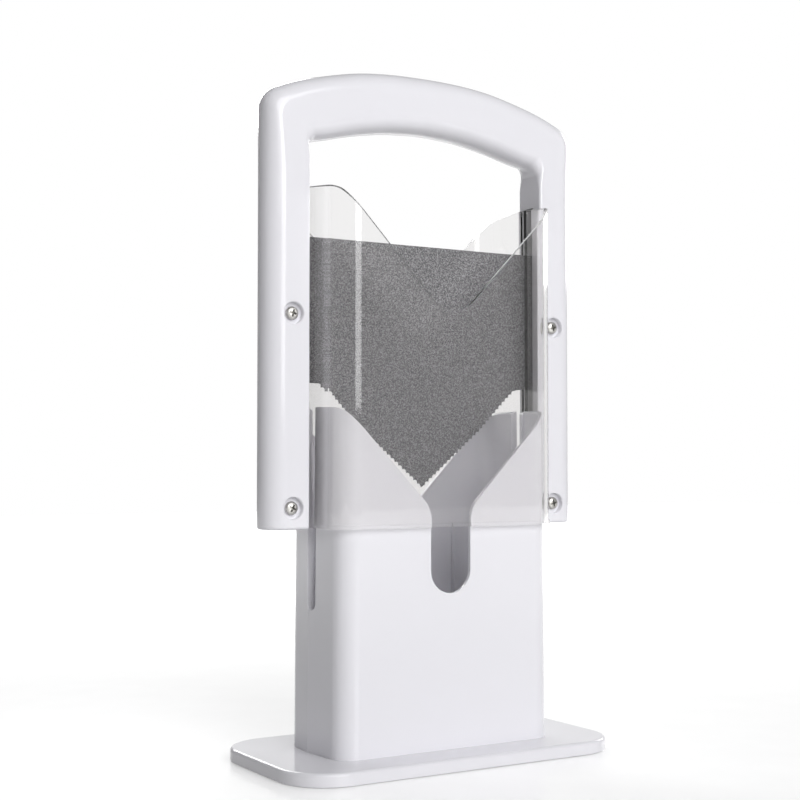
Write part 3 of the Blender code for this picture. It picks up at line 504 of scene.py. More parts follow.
class Workshop:
    """Bench on which solids are made, joined and finished."""

    def __init__(self) -> None:
        """Lay out one collection for tools and one for finished pieces."""
        self.tools = bpy.data.collections.new("workshop_tools")
        self.pieces = bpy.data.collections.new("slicer_pieces")
        for group in (self.tools, self.pieces):
            bpy.context.scene.collection.children.link(group)

    def solid(self, name: str, shape: bmesh.types.BMesh) -> Item:
        """Put a shape on the bench, welded and with its faces turned outwards."""
        bmesh.ops.remove_doubles(shape, verts=shape.verts, dist=WELD)
        bmesh.ops.recalc_face_normals(shape, faces=shape.faces)
        mesh = bpy.data.meshes.new(name)
        shape.to_mesh(mesh)
        shape.free()
        item = bpy.data.objects.new(name, mesh)
        self.tools.objects.link(item)
        return item

    def slab(self, name: str, outline: Sequence[Point], start: float, end: float,
             axis: Axis) -> Item:
        """Solid with a flat outline that runs from start to end along an axis."""
        return self.loft(name, [[axis.place(u, v, w) for u, v in outline] for w in (start, end)])

    def loft(self, name: str, rings: Sequence[Sequence[Corner]]) -> Item:
        """Solid through closed rings of the same number of points, capped at both ends."""
        shape = bmesh.new()
        placed = [[shape.verts.new(point) for point in ring] for ring in rings]
        for ring, following in zip(placed, placed[1:]):
            for k in range(len(ring)):
                shape.faces.new((ring[k - 1], ring[k], following[k], following[k - 1]))
        shape.faces.new(placed[0])
        shape.faces.new(placed[-1])
        return self.solid(name, shape)

    def turned(self, name: str, profile: Sequence[Point], spot: Corner, outward: Corner,
               segments: int = 48) -> Item:
        """Solid turned about an axis.

        Args:
            name: Name of the solid.
            profile: Radius and height along the axis, from pole to pole.
            spot: Place of height zero.
            outward: Way in which the heights grow.
            segments: Number of flats round it.

        Returns:
            The solid.
        """
        shape = bmesh.new()
        turn = Vector((0, 0, 1)).rotation_difference(Vector(outward)).to_matrix()
        rings = []
        for radius, height in profile:
            angles = [2 * math.pi * k / segments for k in range(segments if radius else 1)]
            points = [Vector((radius * math.cos(a), radius * math.sin(a), height)) for a in angles]
            rings.append([shape.verts.new(turn @ point + Vector(spot)) for point in points])
        for ring, following in zip(rings, rings[1:]):
            for k in range(segments):
                around = [ring[k % len(ring)], ring[(k + 1) % len(ring)]]
                around += [following[(k + 1) % len(following)], following[k % len(following)]]
                shape.faces.new(dict.fromkeys(around))
        return self.solid(name, shape)

    def rod(self, name: str, radius: float, start: float, end: float, spot: Corner,
            outward: Corner) -> Item:
        """Round rod between two heights along an axis."""
        profile = (0, start), (radius, start), (radius, end), (0, end)
        return self.turned(name, profile, spot, outward)

    def sink(self, target: Item, radius: float, depth: float, flare: float, spot: Corner,
             outward: Corner, segments: int = 48) -> None:
        """Cut a flared counterbore that opens at a spot.

        Args:
            target: Solid to cut.
            radius: Radius of the counterbore.
            depth: Its depth below the spot.
            flare: Width and height of its flared mouth.
            spot: Middle of the mouth.
            outward: Way out of the solid.
            segments: Number of flats round it.
        """
        wide = radius + flare
        profile = (
            (0, -depth), (radius, -depth), (radius, -flare), (wide, 0), (wide, SPARE), (0, SPARE),
        )
        self.combine(target, self.turned("sink", profile, spot, outward, segments), Join.CUT)

    def drill(self, target: Item, radius: float, start: float, end: float,
              spot: Corner, outward: Corner) -> None:
        """Cut a round hole between two heights along an axis."""
        self.combine(target, self.rod("hole", radius, start, end, spot, outward), Join.CUT)

    def combine(self, target: Item, tool: Item, how: Join) -> None:
        """Join a tool to a solid, cut it out or trim to it."""
        modifier = target.modifiers.new(tool.name, "BOOLEAN")
        modifier.operation = how.value
        modifier.solver = "EXACT"
        modifier.object = tool

    def settle(self, item: Item) -> None:
        """Turn what the modifiers make of a solid into its own clean mesh."""
        graph = bpy.context.evaluated_depsgraph_get()
        mesh = bpy.data.meshes.new_from_object(item.evaluated_get(graph))
        item.modifiers.clear()
        item.data = mesh
        shape = bmesh.new()
        shape.from_mesh(mesh)
        bmesh.ops.remove_doubles(shape, verts=shape.verts, dist=WELD)
        bmesh.ops.dissolve_degenerate(shape, edges=shape.edges, dist=WELD)
        rims = [edge for edge in shape.edges if edge.is_boundary]
        bmesh.ops.holes_fill(shape, edges=rims, sides=4)
        shape.to_mesh(mesh)
        shape.free()

    def soften(
        self, item: Item, radius: float, steps: int,
        share: Callable[[Vector], float] = lambda middle: 1.0, shortest: float = 0.0,
    ) -> None:
        """Round the sharp outward edges of a solid.

        Args:
            item: The solid.
            radius: Largest width of the rounding.
            steps: Chords of the rounding.
            share: Part of the radius for an edge, from its middle point.
            shortest: Length below which an edge is closed up, so that no rounding folds over.
        """
        self.settle(item)
        shape = bmesh.new()
        shape.from_mesh(item.data)
        joined: dict[bmesh.types.BMVert, bmesh.types.BMVert] = {}
        for edge in shape.edges:
            if edge.calc_length() < shortest and edge.calc_face_angle_signed(0) > CREASE:
                loose, kept = sorted(edge.verts, key=lambda vert: len(vert.link_edges))
                if not {loose, kept} & {*joined, *joined.values()}:
                    joined[loose] = kept
        bmesh.ops.weld_verts(shape, targetmap=joined)
        weight = shape.edges.layers.float.new("bevel_weight_edge")
        for edge in shape.edges:
            if edge.calc_face_angle_signed(0) > CREASE:
                edge[weight] = share((edge.verts[0].co + edge.verts[1].co) / 2)
        shape.to_mesh(item.data)
        shape.free()
        modifier = item.modifiers.new("rounded_edges", "BEVEL")
        modifier.limit_method = "WEIGHT"
        modifier.width = radius
        modifier.segments = steps
        modifier.use_clamp_overlap = False
        self.settle(item)

    def copies(self, name: str, solid: Item, spots: Sequence[Corner],
               facing: Corner, material: Material, loose_turn: float = 0.0) -> Item:
        """Copies of a solid at spots, as one mesh.

        Args:
            name: Name of the result.
            solid: Solid that is copied, made about the origin.
            spots: Places of the copies.
            facing: Turn of all the copies, in radians about X, Y and Z.
            material: Material of the copies.
            loose_turn: Largest chance turn of a copy about its own axis, in radians.

        Returns:
            The object with all the copies.
        """
        marks = bpy.data.meshes.new(name + "_spots")
        marks.from_pydata([tuple(spot) for spot in spots], [], [])
        places = bpy.data.objects.new(name + "_spots", marks)
        self.tools.objects.link(places)
        item = bpy.data.objects.new(name, solid.data)
        self.tools.objects.link(item)
        modifier = item.modifiers.new("copies", "NODES")
        modifier.node_group = bpy.data.node_groups.get("copies_at_spots") or copies_tree()
        set_inputs(modifier, {
            "Spots": places,
            "Facing": facing,
            "Loose Turn": loose_turn,
            "Seed": len(spots),
            "Material": material,
        })
        self.settle(item)
        return item

    def hand_over(self, item: Item, piece: Piece, material: Material) -> None:
        """Finish a solid, set it on its body and clear the bench."""
        self.settle(item)
        item.data.materials.clear()
        item.data.materials.append(material)
        item.data.shade_smooth()
        item.data.set_sharp_from_angle(angle=CREASE)
        evened = item.modifiers.new("even_normals", "WEIGHTED_NORMAL")
        evened.keep_sharp = True
        graph = bpy.context.evaluated_depsgraph_get()
        mesh = bpy.data.meshes.new_from_object(item.evaluated_get(graph))
        mesh.name = piece.name
        finished = bpy.data.objects.new(piece.name, mesh)
        self.pieces.objects.link(finished)
        for tool in list(self.tools.objects):
            bpy.data.objects.remove(tool, do_unlink=True)
        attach(finished, piece.body)
        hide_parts(*piece.stands_for)
        low, high = (Vector(map(pick, zip(*(v.co for v in mesh.vertices)))) for pick in (min, max))
        size = " x ".join(f"{1000 * side:.1f}" for side in high - low)
        LOG.info("%s: %s mm, %d faces, on %s", piece.name, size, len(mesh.polygons), piece.body)


@dataclass
class BasePlate:
    """White plate with rounded ends, on which the holder stands."""

    corner_radius: float = 0.0245
    rim_radius: float = 0.0016
    foot_radius: float = 0.0005
    pocket_depth: float = 0.0032
    pocket_radius: float = 0.004
    pocket_end_radius: float = 0.018
    pocket_fillet: float = 0.0008
    border: float = 0.006
    web: float = 0.004
    screw_band: float = 0.008
    screw_offset: float = 0.027
    screw_inset: float = 0.0057
    hole_radius: float = 0.0018
    sink_radius: float = 0.0038
    sink_depth: float = 0.0028
    flare: float = 0.0004

    def spots(self, height: float) -> dict[str, Corner]:
        """Places of the screws that hold the holder, at one height."""
        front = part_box("holder_front_shell")[0].y + self.screw_inset
        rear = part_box("holder_rear_shell")[1].y - self.screw_inset
        across = self.screw_offset
        return screw_places({"front": (across, front, height), "rear": (across, rear, height)})

    def build(self, shop: Workshop, plastic: Material) -> None:
        """Make the plate with its cored underside and countersunk holes."""
        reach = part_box("base_plate")[1]
        u, v, thick = reach.x, reach.y, reach.z
        corners = [(a * u, b * v, self.corner_radius) for a, b in SQUARE]
        plate = shop.slab("plate", rounded(corners, 28), 0, thick, Axis.UP)
        foot = self.foot_radius / self.rim_radius
        shop.soften(plate, self.rim_radius, 6, lambda middle: 1.0 if middle.z > thick / 2 else foot)
        band = self.screw_offset - self.screw_band, self.screw_offset + self.screw_band
        deep = v - self.border
        for hand in Hand:
            for near, far, end_radius in (
                (self.web / 2, band[0], self.pocket_radius),
                (band[1], u - self.border, self.pocket_end_radius),
            ):
                corners = (
                    (near, -deep, self.pocket_radius), (far, -deep, end_radius),
                    (far, deep, end_radius), (near, deep, self.pocket_radius),
                )
                outline = [(hand.value * across, along) for across, along in rounded(corners, 10)]
                pocket = shop.slab("pocket", outline, -SPARE, self.pocket_depth, Axis.UP)
                shop.soften(pocket, self.pocket_fillet, 3, lambda middle: float(middle.z > 0))
                shop.combine(plate, pocket, Join.CUT)
        for spot in self.spots(0).values():
            shop.sink(plate, self.sink_radius, self.sink_depth, self.flare, spot, (0, 0, -1))
            shop.drill(plate, self.hole_radius, 0, thick + SPARE, spot, (0, 0, 1))
        piece = Piece("white_base_plate", "holder", "white_plastic", ("base_plate",))
        shop.hand_over(plate, piece, plastic)


@dataclass
class Holder:
    """Two white shells that take a bagel on edge, open at the top in a wide V."""

    plate: BasePlate
    half_width: float = 0.0626
    draft: float = 0.0008
    seam: float = 0.0026
    taper: float = 0.08
    wall: float = 0.0022
    rim_radius: float = 0.0003
    shortest_rim: float = 0.0006
    seam_share: float = 0.35
    front_corner: float = 0.0105
    rear_corner: float = 0.0125
    slot_half_width: float = 0.0113
    slot_depth: float = 0.0903
    mouth_depth: float = 0.0494
    mouth_shoulder: float = 0.0031
    lower_radius: float = 0.013
    upper_radius: float = 0.012
    side_slot: Point = (-0.0034, 0.0041)
    side_slot_depth: float = 0.0977
    lip_width: float = 0.002
    lip_height: float = 0.0016
    rib_offsets: Point = (0.016, 0.0355)
    rib_thickness: float = 0.002
    rib_foot: float = 0.009
    rib_knee: float = 0.03
    rib_top: float = 0.112
    rib_depths: Point = (0.008, 0.0008)
    bond: float = 0.0006
    screw_insets: Point = (0.0166, 0.0091)
    screw_heights: Point = (0.016, 0.038)
    seat_depth: float = 0.015
    pilot_depth: float = 0.012
    boss_radii: Point = (0.0042, 0.0052)
    sink_radius: float = 0.0036
    foot_boss_radius: float = 0.0042
    foot_boss_height: float = 0.013
    foot_pilot_depth: float = 0.0115

    def __post_init__(self) -> None:
        """Take the reach of the shells from the frame."""
        front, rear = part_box("holder_front_shell"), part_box("holder_rear_shell")
        self.faces = {Side.FRONT: front[0].y, Side.REAR: rear[1].y}
        self.foot = front[0].z
        self.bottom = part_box("base_plate")[1].z + HAIRLINE
        self.top = front[1].z

    def spots(self, along: float) -> dict[str, Corner]:
        """Places of the screws that join the shells, at one depth."""
        levels = zip(("lower", "upper"), self.screw_insets, self.screw_heights)
        return screw_places({
            level: (self.half_width - inset, along, height) for level, inset, height in levels
        })

    def outer(self, along: float) -> float:
        """Half width of the outer walls at a depth."""
        return self.half_width - self.taper * abs(along - self.seam)

    def plan(self, side: Side) -> list[Point]:
        """Plan of one shell wall, with the guide lips beside its blade slots."""
        toward = side.value
        face = self.faces[side]
        radius = self.front_corner if side is Side.FRONT else self.rear_corner
        slot = self.side_slot[0] if side is Side.FRONT else self.side_slot[1]
        seam = self.seam + toward * HAIRLINE
        lip = slot + toward * self.lip_width
        back = face - toward * self.wall
        right = (
            (self.outer(face), face, radius), (self.outer(seam), seam, 0),
            (self.outer(seam) - self.wall, seam, 0), (self.outer(slot) - self.wall, slot, 0),
            (self.outer(slot) - self.wall - self.lip_height, slot, 0),
            (self.outer(slot) - self.wall - self.lip_height, lip, 0),
            (self.outer(lip) - self.wall, lip, 0),
            (self.outer(back) - self.wall, back, radius - self.wall),
        )
        return rounded(mirrored(right), 14)

    def mouth(self, shop: Workshop) -> Item:
        """Tool for the U slot, the V mouth and all that lies above them."""
        wide = self.half_width + SPARE
        middle = self.top - self.slot_depth + self.slot_half_width
        bowl = arc((0, middle), self.slot_half_width, 180, 360, 32)
        right = (
            (self.slot_half_width, self.top - self.mouth_depth, self.lower_radius),
            (self.half_width - self.mouth_shoulder, self.top, self.upper_radius),
            (wide, self.top, 0), (wide, self.top + 2 * SPARE, 0),
        )
        corners = [(u, v, 0) for u, v in bowl] + mirrored(right)
        start, end = self.faces[Side.FRONT] - SPARE, self.faces[Side.REAR] + SPARE
        return shop.slab("mouth", rounded(corners, 16), start, end, Axis.DEEP)

    def blade_slots(self, shop: Workshop) -> Item:
        """Tool for the two side slots that let the blade down."""
        near, far = self.side_slot
        radius = (far - near) / 2
        middle = near + radius, self.top - self.side_slot_depth + radius
        outline = arc(middle, radius, 180, 360, 24)
        outline += [(far, self.top + SPARE), (near, self.top + SPARE)]
        wide = self.half_width + SPARE
        return shop.slab("blade_slots", outline, -wide, wide, Axis.ACROSS)

    def ribs(self, side: Side, shop: Workshop, plastic: Material) -> Item:
        """Gripping ribs on the inside of one wall, copied from one rib."""
        toward = side.value
        back = self.faces[side] - toward * self.wall
        root = back + toward * self.bond
        foot, top = (back - toward * depth for depth in self.rib_depths)
        profile = (
            (root, self.rib_foot), (foot, self.rib_foot), (foot, self.rib_knee),
            (top, self.rib_top), (root, self.rib_top),
        )
        half = self.rib_thickness / 2
        rib = shop.slab("rib", profile, -half, half, Axis.ACROSS)
        spots = [(hand.value * offset, 0, 0) for hand in Hand for offset in self.rib_offsets]
        return shop.copies("ribs", rib, spots, (0, 0, 0), plastic)

    def fill(self, side: Side, shop: Workshop) -> Item:
        """Solid that ends inside the wall, to trim the roots of the bosses."""
        toward = side.value
        face = self.faces[side] - toward * self.bond
        radius = (self.front_corner if side is Side.FRONT else self.rear_corner) - self.bond
        seam = self.seam + toward * HAIRLINE
        right = (
            (self.outer(self.faces[side]) - self.bond, face, radius),
            (self.outer(seam) - self.bond, seam, 0),
        )
        return shop.slab("fill", rounded(mirrored(right), 14), 0, self.top, Axis.UP)

    def build_shell(self, side: Side, shop: Workshop, plastic: Material) -> None:
        """Make one shell: drafted wall with rounded rims, ribs, bosses and screw holes."""
        toward = side.value
        face = self.faces[side]
        seam = self.seam + toward * HAIRLINE
        shell = shop.slab("shell", self.plan(side), self.bottom, self.top + SPARE, Axis.UP)
        for vert in shell.data.vertices:
            lean = self.draft * (vert.co.z - self.foot) / (self.top - self.foot)
            vert.co.x -= math.copysign(lean, vert.co.x)
        shop.combine(shell, self.mouth(shop), Join.CUT)
        shop.combine(shell, self.blade_slots(shop), Join.CUT)
        shop.combine(shell, self.ribs(side, shop, plastic), Join.ADD)
        fill = self.fill(side, shop)
        boss_radius = self.boss_radii[side is Side.REAR]
        inner = (0, -toward, 0)
        for spot in self.spots(face).values():
            boss = shop.rod("boss", boss_radius, 0, abs(face - seam), spot, inner)
            shop.combine(boss, fill, Join.TRIM)
            shop.combine(shell, boss, Join.ADD)
        foot_spots = [s for s in self.plate.spots(self.bottom).values() if s[1] * toward > 0]
        for spot in foot_spots:
            height = self.foot_boss_height
            boss = shop.rod("foot_boss", self.foot_boss_radius, HAIRLINE, height, spot, (0, 0, 1))
            shop.combine(shell, boss, Join.ADD)
        shop.settle(shell)
        radius = self.plate.hole_radius
        for spot in foot_spots:
            shop.drill(shell, radius, -SPARE, self.foot_pilot_depth, spot, (0, 0, 1))
        for spot in self.spots(seam).values():
            if side is Side.FRONT:
                shop.drill(shell, radius, -SPARE, self.pilot_depth, spot, (0, -1, 0))
                continue
            deep = face - seam
            seat = deep - self.seat_depth
            shop.drill(shell, self.sink_radius, seat, deep + SPARE, spot, (0, 1, 0))
            shop.drill(shell, radius, -SPARE, deep, spot, (0, 1, 0))

        def share(middle: Vector) -> float:
            """Full rounding on the rims, less along the seam, none at the foot."""
            if middle.z < self.bottom + self.wall:
                return 0.0
            return self.seam_share if abs(middle.y - seam) < WELD else 1.0

        shop.soften(shell, self.rim_radius, 4, share, self.shortest_rim)
        label = side.name.lower()
        piece = Piece(f"white_{label}_shell", "holder", "white_plastic", (f"holder_{label}_shell",))
        shop.hand_over(shell, piece, plastic)


@dataclass
class Handle:
    """Arched grip with two legs, in a front and a rear half that clamp the blade and shields."""

    inner: float = 0.0677
    edge_radius: float = 0.0015
    foot_radius: float = 0.0016
    grip_edge_radius: float = 0.008
    corner_edge_radius: float = 0.003
    drawn_half_width: float = 0.09
    top_line: tuple[Point, ...] = (
        (0.0, 0.0), (0.01, 0.0001), (0.02, 0.0005), (0.03, 0.0013), (0.0392, 0.0025),
        (0.048, 0.0042), (0.057, 0.0063), (0.0655, 0.0085), (0.0745, 0.0114), (0.0831, 0.0149),
    )
    under_line: tuple[Point, ...] = (
        (0.0, 0.0291), (0.018, 0.03), (0.036, 0.0327), (0.044, 0.0344), (0.056, 0.0374),
        (0.063, 0.0388),
    )
    grip_stations: tuple[Point, ...] = (
        (0.0, 0.0), (0.0075, 0.0085), (0.015, 0.017), (0.0225, 0.0255), (0.0295, 0.034),
        (0.036, 0.0425), (0.042, 0.051), (0.048, 0.0595), (0.0535, 0.068), (0.0585, 0.0762),
        (0.063, 0.0831),
    )
    inner_corner: Corner = (0.006, 0.0446, 77.9)
    outer_corner: Corner = (0.011, 0.0251, 68.0)
    leg_drops: tuple[Point, ...] = ((0.0504, 0.0384), (0.0584, 0.0544), (0.0684, 0.0684))
    core_wall: float = 0.005
    core_depth: float = 0.0063
    core_foot: float = 0.011
    pocket_depth: float = 0.0031
    pocket_wall: float = 0.0055
    pocket_floor: float = 0.0036
    pocket_headroom: float = 0.0035
    screw_inset: float = 0.0088
    screw_foot: float = 0.0102
    screw_drop: float = 0.0383
    boss_radius: float = 0.0072
    boss_skin: float = 0.001
    sink_radius: float = 0.0052
    sink_depth: float = 0.003
    sink_flare: float = 0.00035
    hole_radius: float = 0.0018
    pilot_skin: float = 0.0015

    def __post_init__(self) -> None:
        """Take the reach of the handle from the frame."""
        low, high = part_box("handle_front_half")
        self.outer, self.bottom, self.top = high.x, low.z, high.z
        self.depth = -low.y
        self.core_bottom = self.bottom + self.screw_foot + self.core_foot

    def spots(self, along: float) -> dict[str, Corner]:
        """Places of the screws that clamp the halves, at one depth."""
        across = self.inner + self.screw_inset
        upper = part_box("blade")[1].z - self.screw_drop
        lower = self.bottom + self.screw_foot
        return screw_places({"lower": (across, along, lower), "upper": (across, along, upper)})

    def right_stations(self) -> list[tuple[Point, Point, float]]:
        """Inner and outer point and edge radius of the sections from the middle to the right."""
        stations = []
        stretch = self.outer / self.drawn_half_width
        parts = 4
        for (i0, o0), (i1, o1) in zip(self.grip_stations, self.grip_stations[1:]):
            for part in range(parts):
                share = part / parts
                i, o = i0 + (i1 - i0) * share, o0 + (o1 - o0) * share
                under = i * stretch, self.top - follow(self.under_line, i)
                over = o * stretch, self.top - follow(self.top_line, o)
                stations.append((under, over, self.grip_edge_radius))
        steps = 22
        corners = []
        for side, (radius, drop, angle) in (
            (self.inner, self.inner_corner), (self.outer, self.outer_corner),
        ):
            corners.append(arc((side - radius, self.top - drop), radius, angle, 0, steps))
        for k, (under, over) in enumerate(zip(*corners)):
            gain = self.corner_edge_radius - self.grip_edge_radius
            stations.append((under, over, self.grip_edge_radius + gain * k / steps))
        for under, over in self.leg_drops:
            ends = (self.inner, self.top - under), (self.outer, self.top - over)
            stations.append((*ends, self.edge_radius))
        stations.append(((self.inner, self.bottom), (self.outer, self.bottom), self.edge_radius))
        return stations

    def stations(self) -> list[tuple[Point, Point, float]]:
        """All the sections, from the foot of the left leg to the foot of the right one."""
        right = self.right_stations()
        left = [((-i[0], i[1]), (-o[0], o[1]), edge) for i, o, edge in reversed(right[1:])]
        return left + right

    def section(self, under: Point, over: Point, edge: float, side: Side) -> list[Corner]:
        """One section of a half: small inner edge, flat face and half-round outside."""
        start, end = Vector(under), Vector(over)
        width = (end - start).length
        along = (end - start) / width
        last = math.degrees(math.asin(HAIRLINE / self.depth))
        points = [(0.0, HAIRLINE)]
        points += arc((edge, self.depth - edge), edge, 180, 90, 9)
        points += arc((width - self.depth, 0), self.depth, 90, last, 22)
        placed = [(start + along * distance, out) for distance, out in points]
        return [(spot.x, side.value * out, spot.y) for spot, out in placed]

    def core(self, side: Side, shop: Workshop) -> Item:
        """Tool for the hollow inside a half."""
        inside, outside = [], []
        for under, over, _ in self.stations():
            start, end = Vector(under), Vector(over)
            along = (end - start).normalized()
            near, far = start + along * self.core_wall, end - along * self.core_wall
            inside.append((near.x, max(near.y, self.core_bottom)))
            outside.append((far.x, max(far.y, self.core_bottom)))
        reach = side.span(-SPARE, self.core_depth)
        return shop.slab("core", outside + inside[::-1], *reach, Axis.DEEP)

    def clamp_pocket(self, side: Side, hand: Hand, shop: Workshop) -> Item:
        """Tool for the pocket in a leg that takes a blade end and the shield flanges."""
        near, far = hand.value * (self.inner - SPARE), hand.value * (self.outer - self.pocket_wall)
        low = self.bottom + self.pocket_floor
        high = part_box("front_shield")[1].z + self.pocket_headroom
        outline = ((near, low), (far, low), (far, high), (near, high))
        return shop.slab("clamp_pocket", outline, *side.span(-SPARE, self.pocket_depth), Axis.DEEP)

    def build_half(self, side: Side, shop: Workshop, plastic: Material) -> None:
        """Make one half: lofted grip and legs, hollow, with pockets, bosses and screw holes."""
        rings = [self.section(under, over, edge, side) for under, over, edge in self.stations()]
        half = shop.loft("half", rings)
        shop.soften(half, self.foot_radius, 5, lambda middle: float(
            middle.z < self.bottom + WELD and abs(middle.y) > 2 * HAIRLINE))
        shop.combine(half, self.core(side, shop), Join.CUT)
        for hand in Hand:
            shop.combine(half, self.clamp_pocket(side, hand, shop), Join.CUT)
        outward = (0, side.value, 0)
        for spot in self.spots(0).values():
            if spot[2] > self.core_bottom:
                reach = self.pocket_depth + HAIRLINE, self.depth - self.boss_skin
                boss = shop.rod("boss", self.boss_radius, *reach, spot, outward)
                shop.combine(half, boss, Join.ADD)
        for spot in self.spots(0).values():
            if side is Side.REAR:
                deep = self.depth - self.pilot_skin
                shop.drill(half, self.hole_radius, -SPARE, deep, spot, outward)
                continue
            shop.drill(half, self.hole_radius, -SPARE, self.depth, spot, outward)
            face = spot[0], side.value * self.depth, spot[2]
            shop.sink(half, self.sink_radius, self.sink_depth, self.sink_flare, face, outward, 64)
        label = side.name.lower()
        piece = Piece(f"white_{label}_handle", "cutter", "white_plastic", (f"handle_{label}_half",))
        shop.hand_over(half, piece, plastic)


@dataclass
class Blade:
    """Coated plate with square ends in the legs and a scalloped, ground V edge."""

    handle: Handle
    end_height: float = 0.0671
    leg_height: float = 0.0693
    shoulder: tuple[Point, ...] = ((0.0625, 0.0709),)
    arm: tuple[Point, ...] = (
        (0.0578, 0.0713), (0.0557, 0.0731), (0.052, 0.0763), (0.047, 0.0812), (0.04, 0.088),
        (0.0355, 0.0925), (0.0, 0.1218),
    )
    pitch: float = 0.0028
    depth: float = 0.001
    steps_per_scallop: int = 8
    ground_width: float = 0.0013
    ground_edge: float = 0.00012
    burr: float = 0.0001
    miter_floor: float = 0.4

    def edge(self) -> list[tuple[float, float, float]]:
        """Points of the right half of the V edge: across, drop and distance along it."""
        points = [Vector(point) for point in self.arm]
        lengths = [(b - a).length for a, b in zip(points, points[1:])]
        total = sum(lengths)
        count = round(total / self.pitch) * self.steps_per_scallop
        placed = []
        for step in range(count):
            distance = total * step / count
            left, k = distance, 0
            while left > lengths[k]:
                left -= lengths[k]
                k += 1
            spot = points[k] + (points[k + 1] - points[k]) * left / lengths[k]
            placed.append((spot.x, spot.y, distance))
        return placed

    def build(self, shop: Workshop, steel: Material) -> None:
        """Make the blade as two faces joined by its ground edge, then hollow its scallops."""
        low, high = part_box("blade")
        edge = self.edge()
        total = sum((Vector(b) - Vector(a)).length for a, b in zip(self.arm, self.arm[1:]))
        scallops = round(total / self.pitch)
        plain = [(high.x, 0.0), (high.x, self.end_height), (self.handle.inner, self.leg_height)]
        right = [(u, v, -1.0) for u, v in plain + list(self.shoulder)] + edge
        drawn = right + [self.arm[-1] + (total,)] + [(-u, v, run) for u, v, run in reversed(right)]
        outline = [Vector((u, high.z - v)) for u, v, _ in drawn]
        count = len(outline)
        rings: list[list[Vector]] = [[], []]
        inward = []
        for k, here in enumerate(outline):
            before = (here - outline[k - 1]).normalized()
            after = (outline[(k + 1) % count] - here).normalized()
            miter = Vector((-before.y - after.y, before.x + after.x)).normalized()
            miter = miter / max(miter.dot(Vector((-before.y, before.x))), self.miter_floor)
            ground = self.ground_width if drawn[k][2] >= 0 else self.burr
            rings[0].append(here)
            rings[1].append(here - miter * ground)
            inward.append(-miter if drawn[k][2] >= 0 else Vector((0, 0)))
        half = high.y
        levels = (
            (rings[1], -half), (rings[0], -self.ground_edge), (rings[0], self.ground_edge),
            (rings[1], half),
        )
        blade = shop.loft("blade", [[(p.x, y, p.y) for p in ring] for ring, y in levels])
        run = blade.data.attributes.new("run", "FLOAT", "POINT")
        shift = blade.data.attributes.new("inward", "FLOAT_VECTOR", "POINT")
        for index in range(len(blade.data.vertices)):
            run.data[index].value = max(drawn[index % count][2], 0.0)
            shift.data[index].vector = (inward[index % count].x, 0, inward[index % count].y)
        grinding = blade.modifiers.new("scallops", "NODES")
        grinding.node_group = scallop_tree()
        set_inputs(grinding, {"Pitch": total / scallops, "Depth": self.depth, "Material": steel})
        shop.settle(blade)
        for spot in self.handle.spots(0).values():
            if spot[2] > high.z - self.end_height:
                shop.drill(blade, self.handle.hole_radius, -SPARE, SPARE, spot, (0, 1, 0))
        shop.hand_over(blade, Piece("coated_blade", "cutter", "coated_steel", ("blade",)), steel)


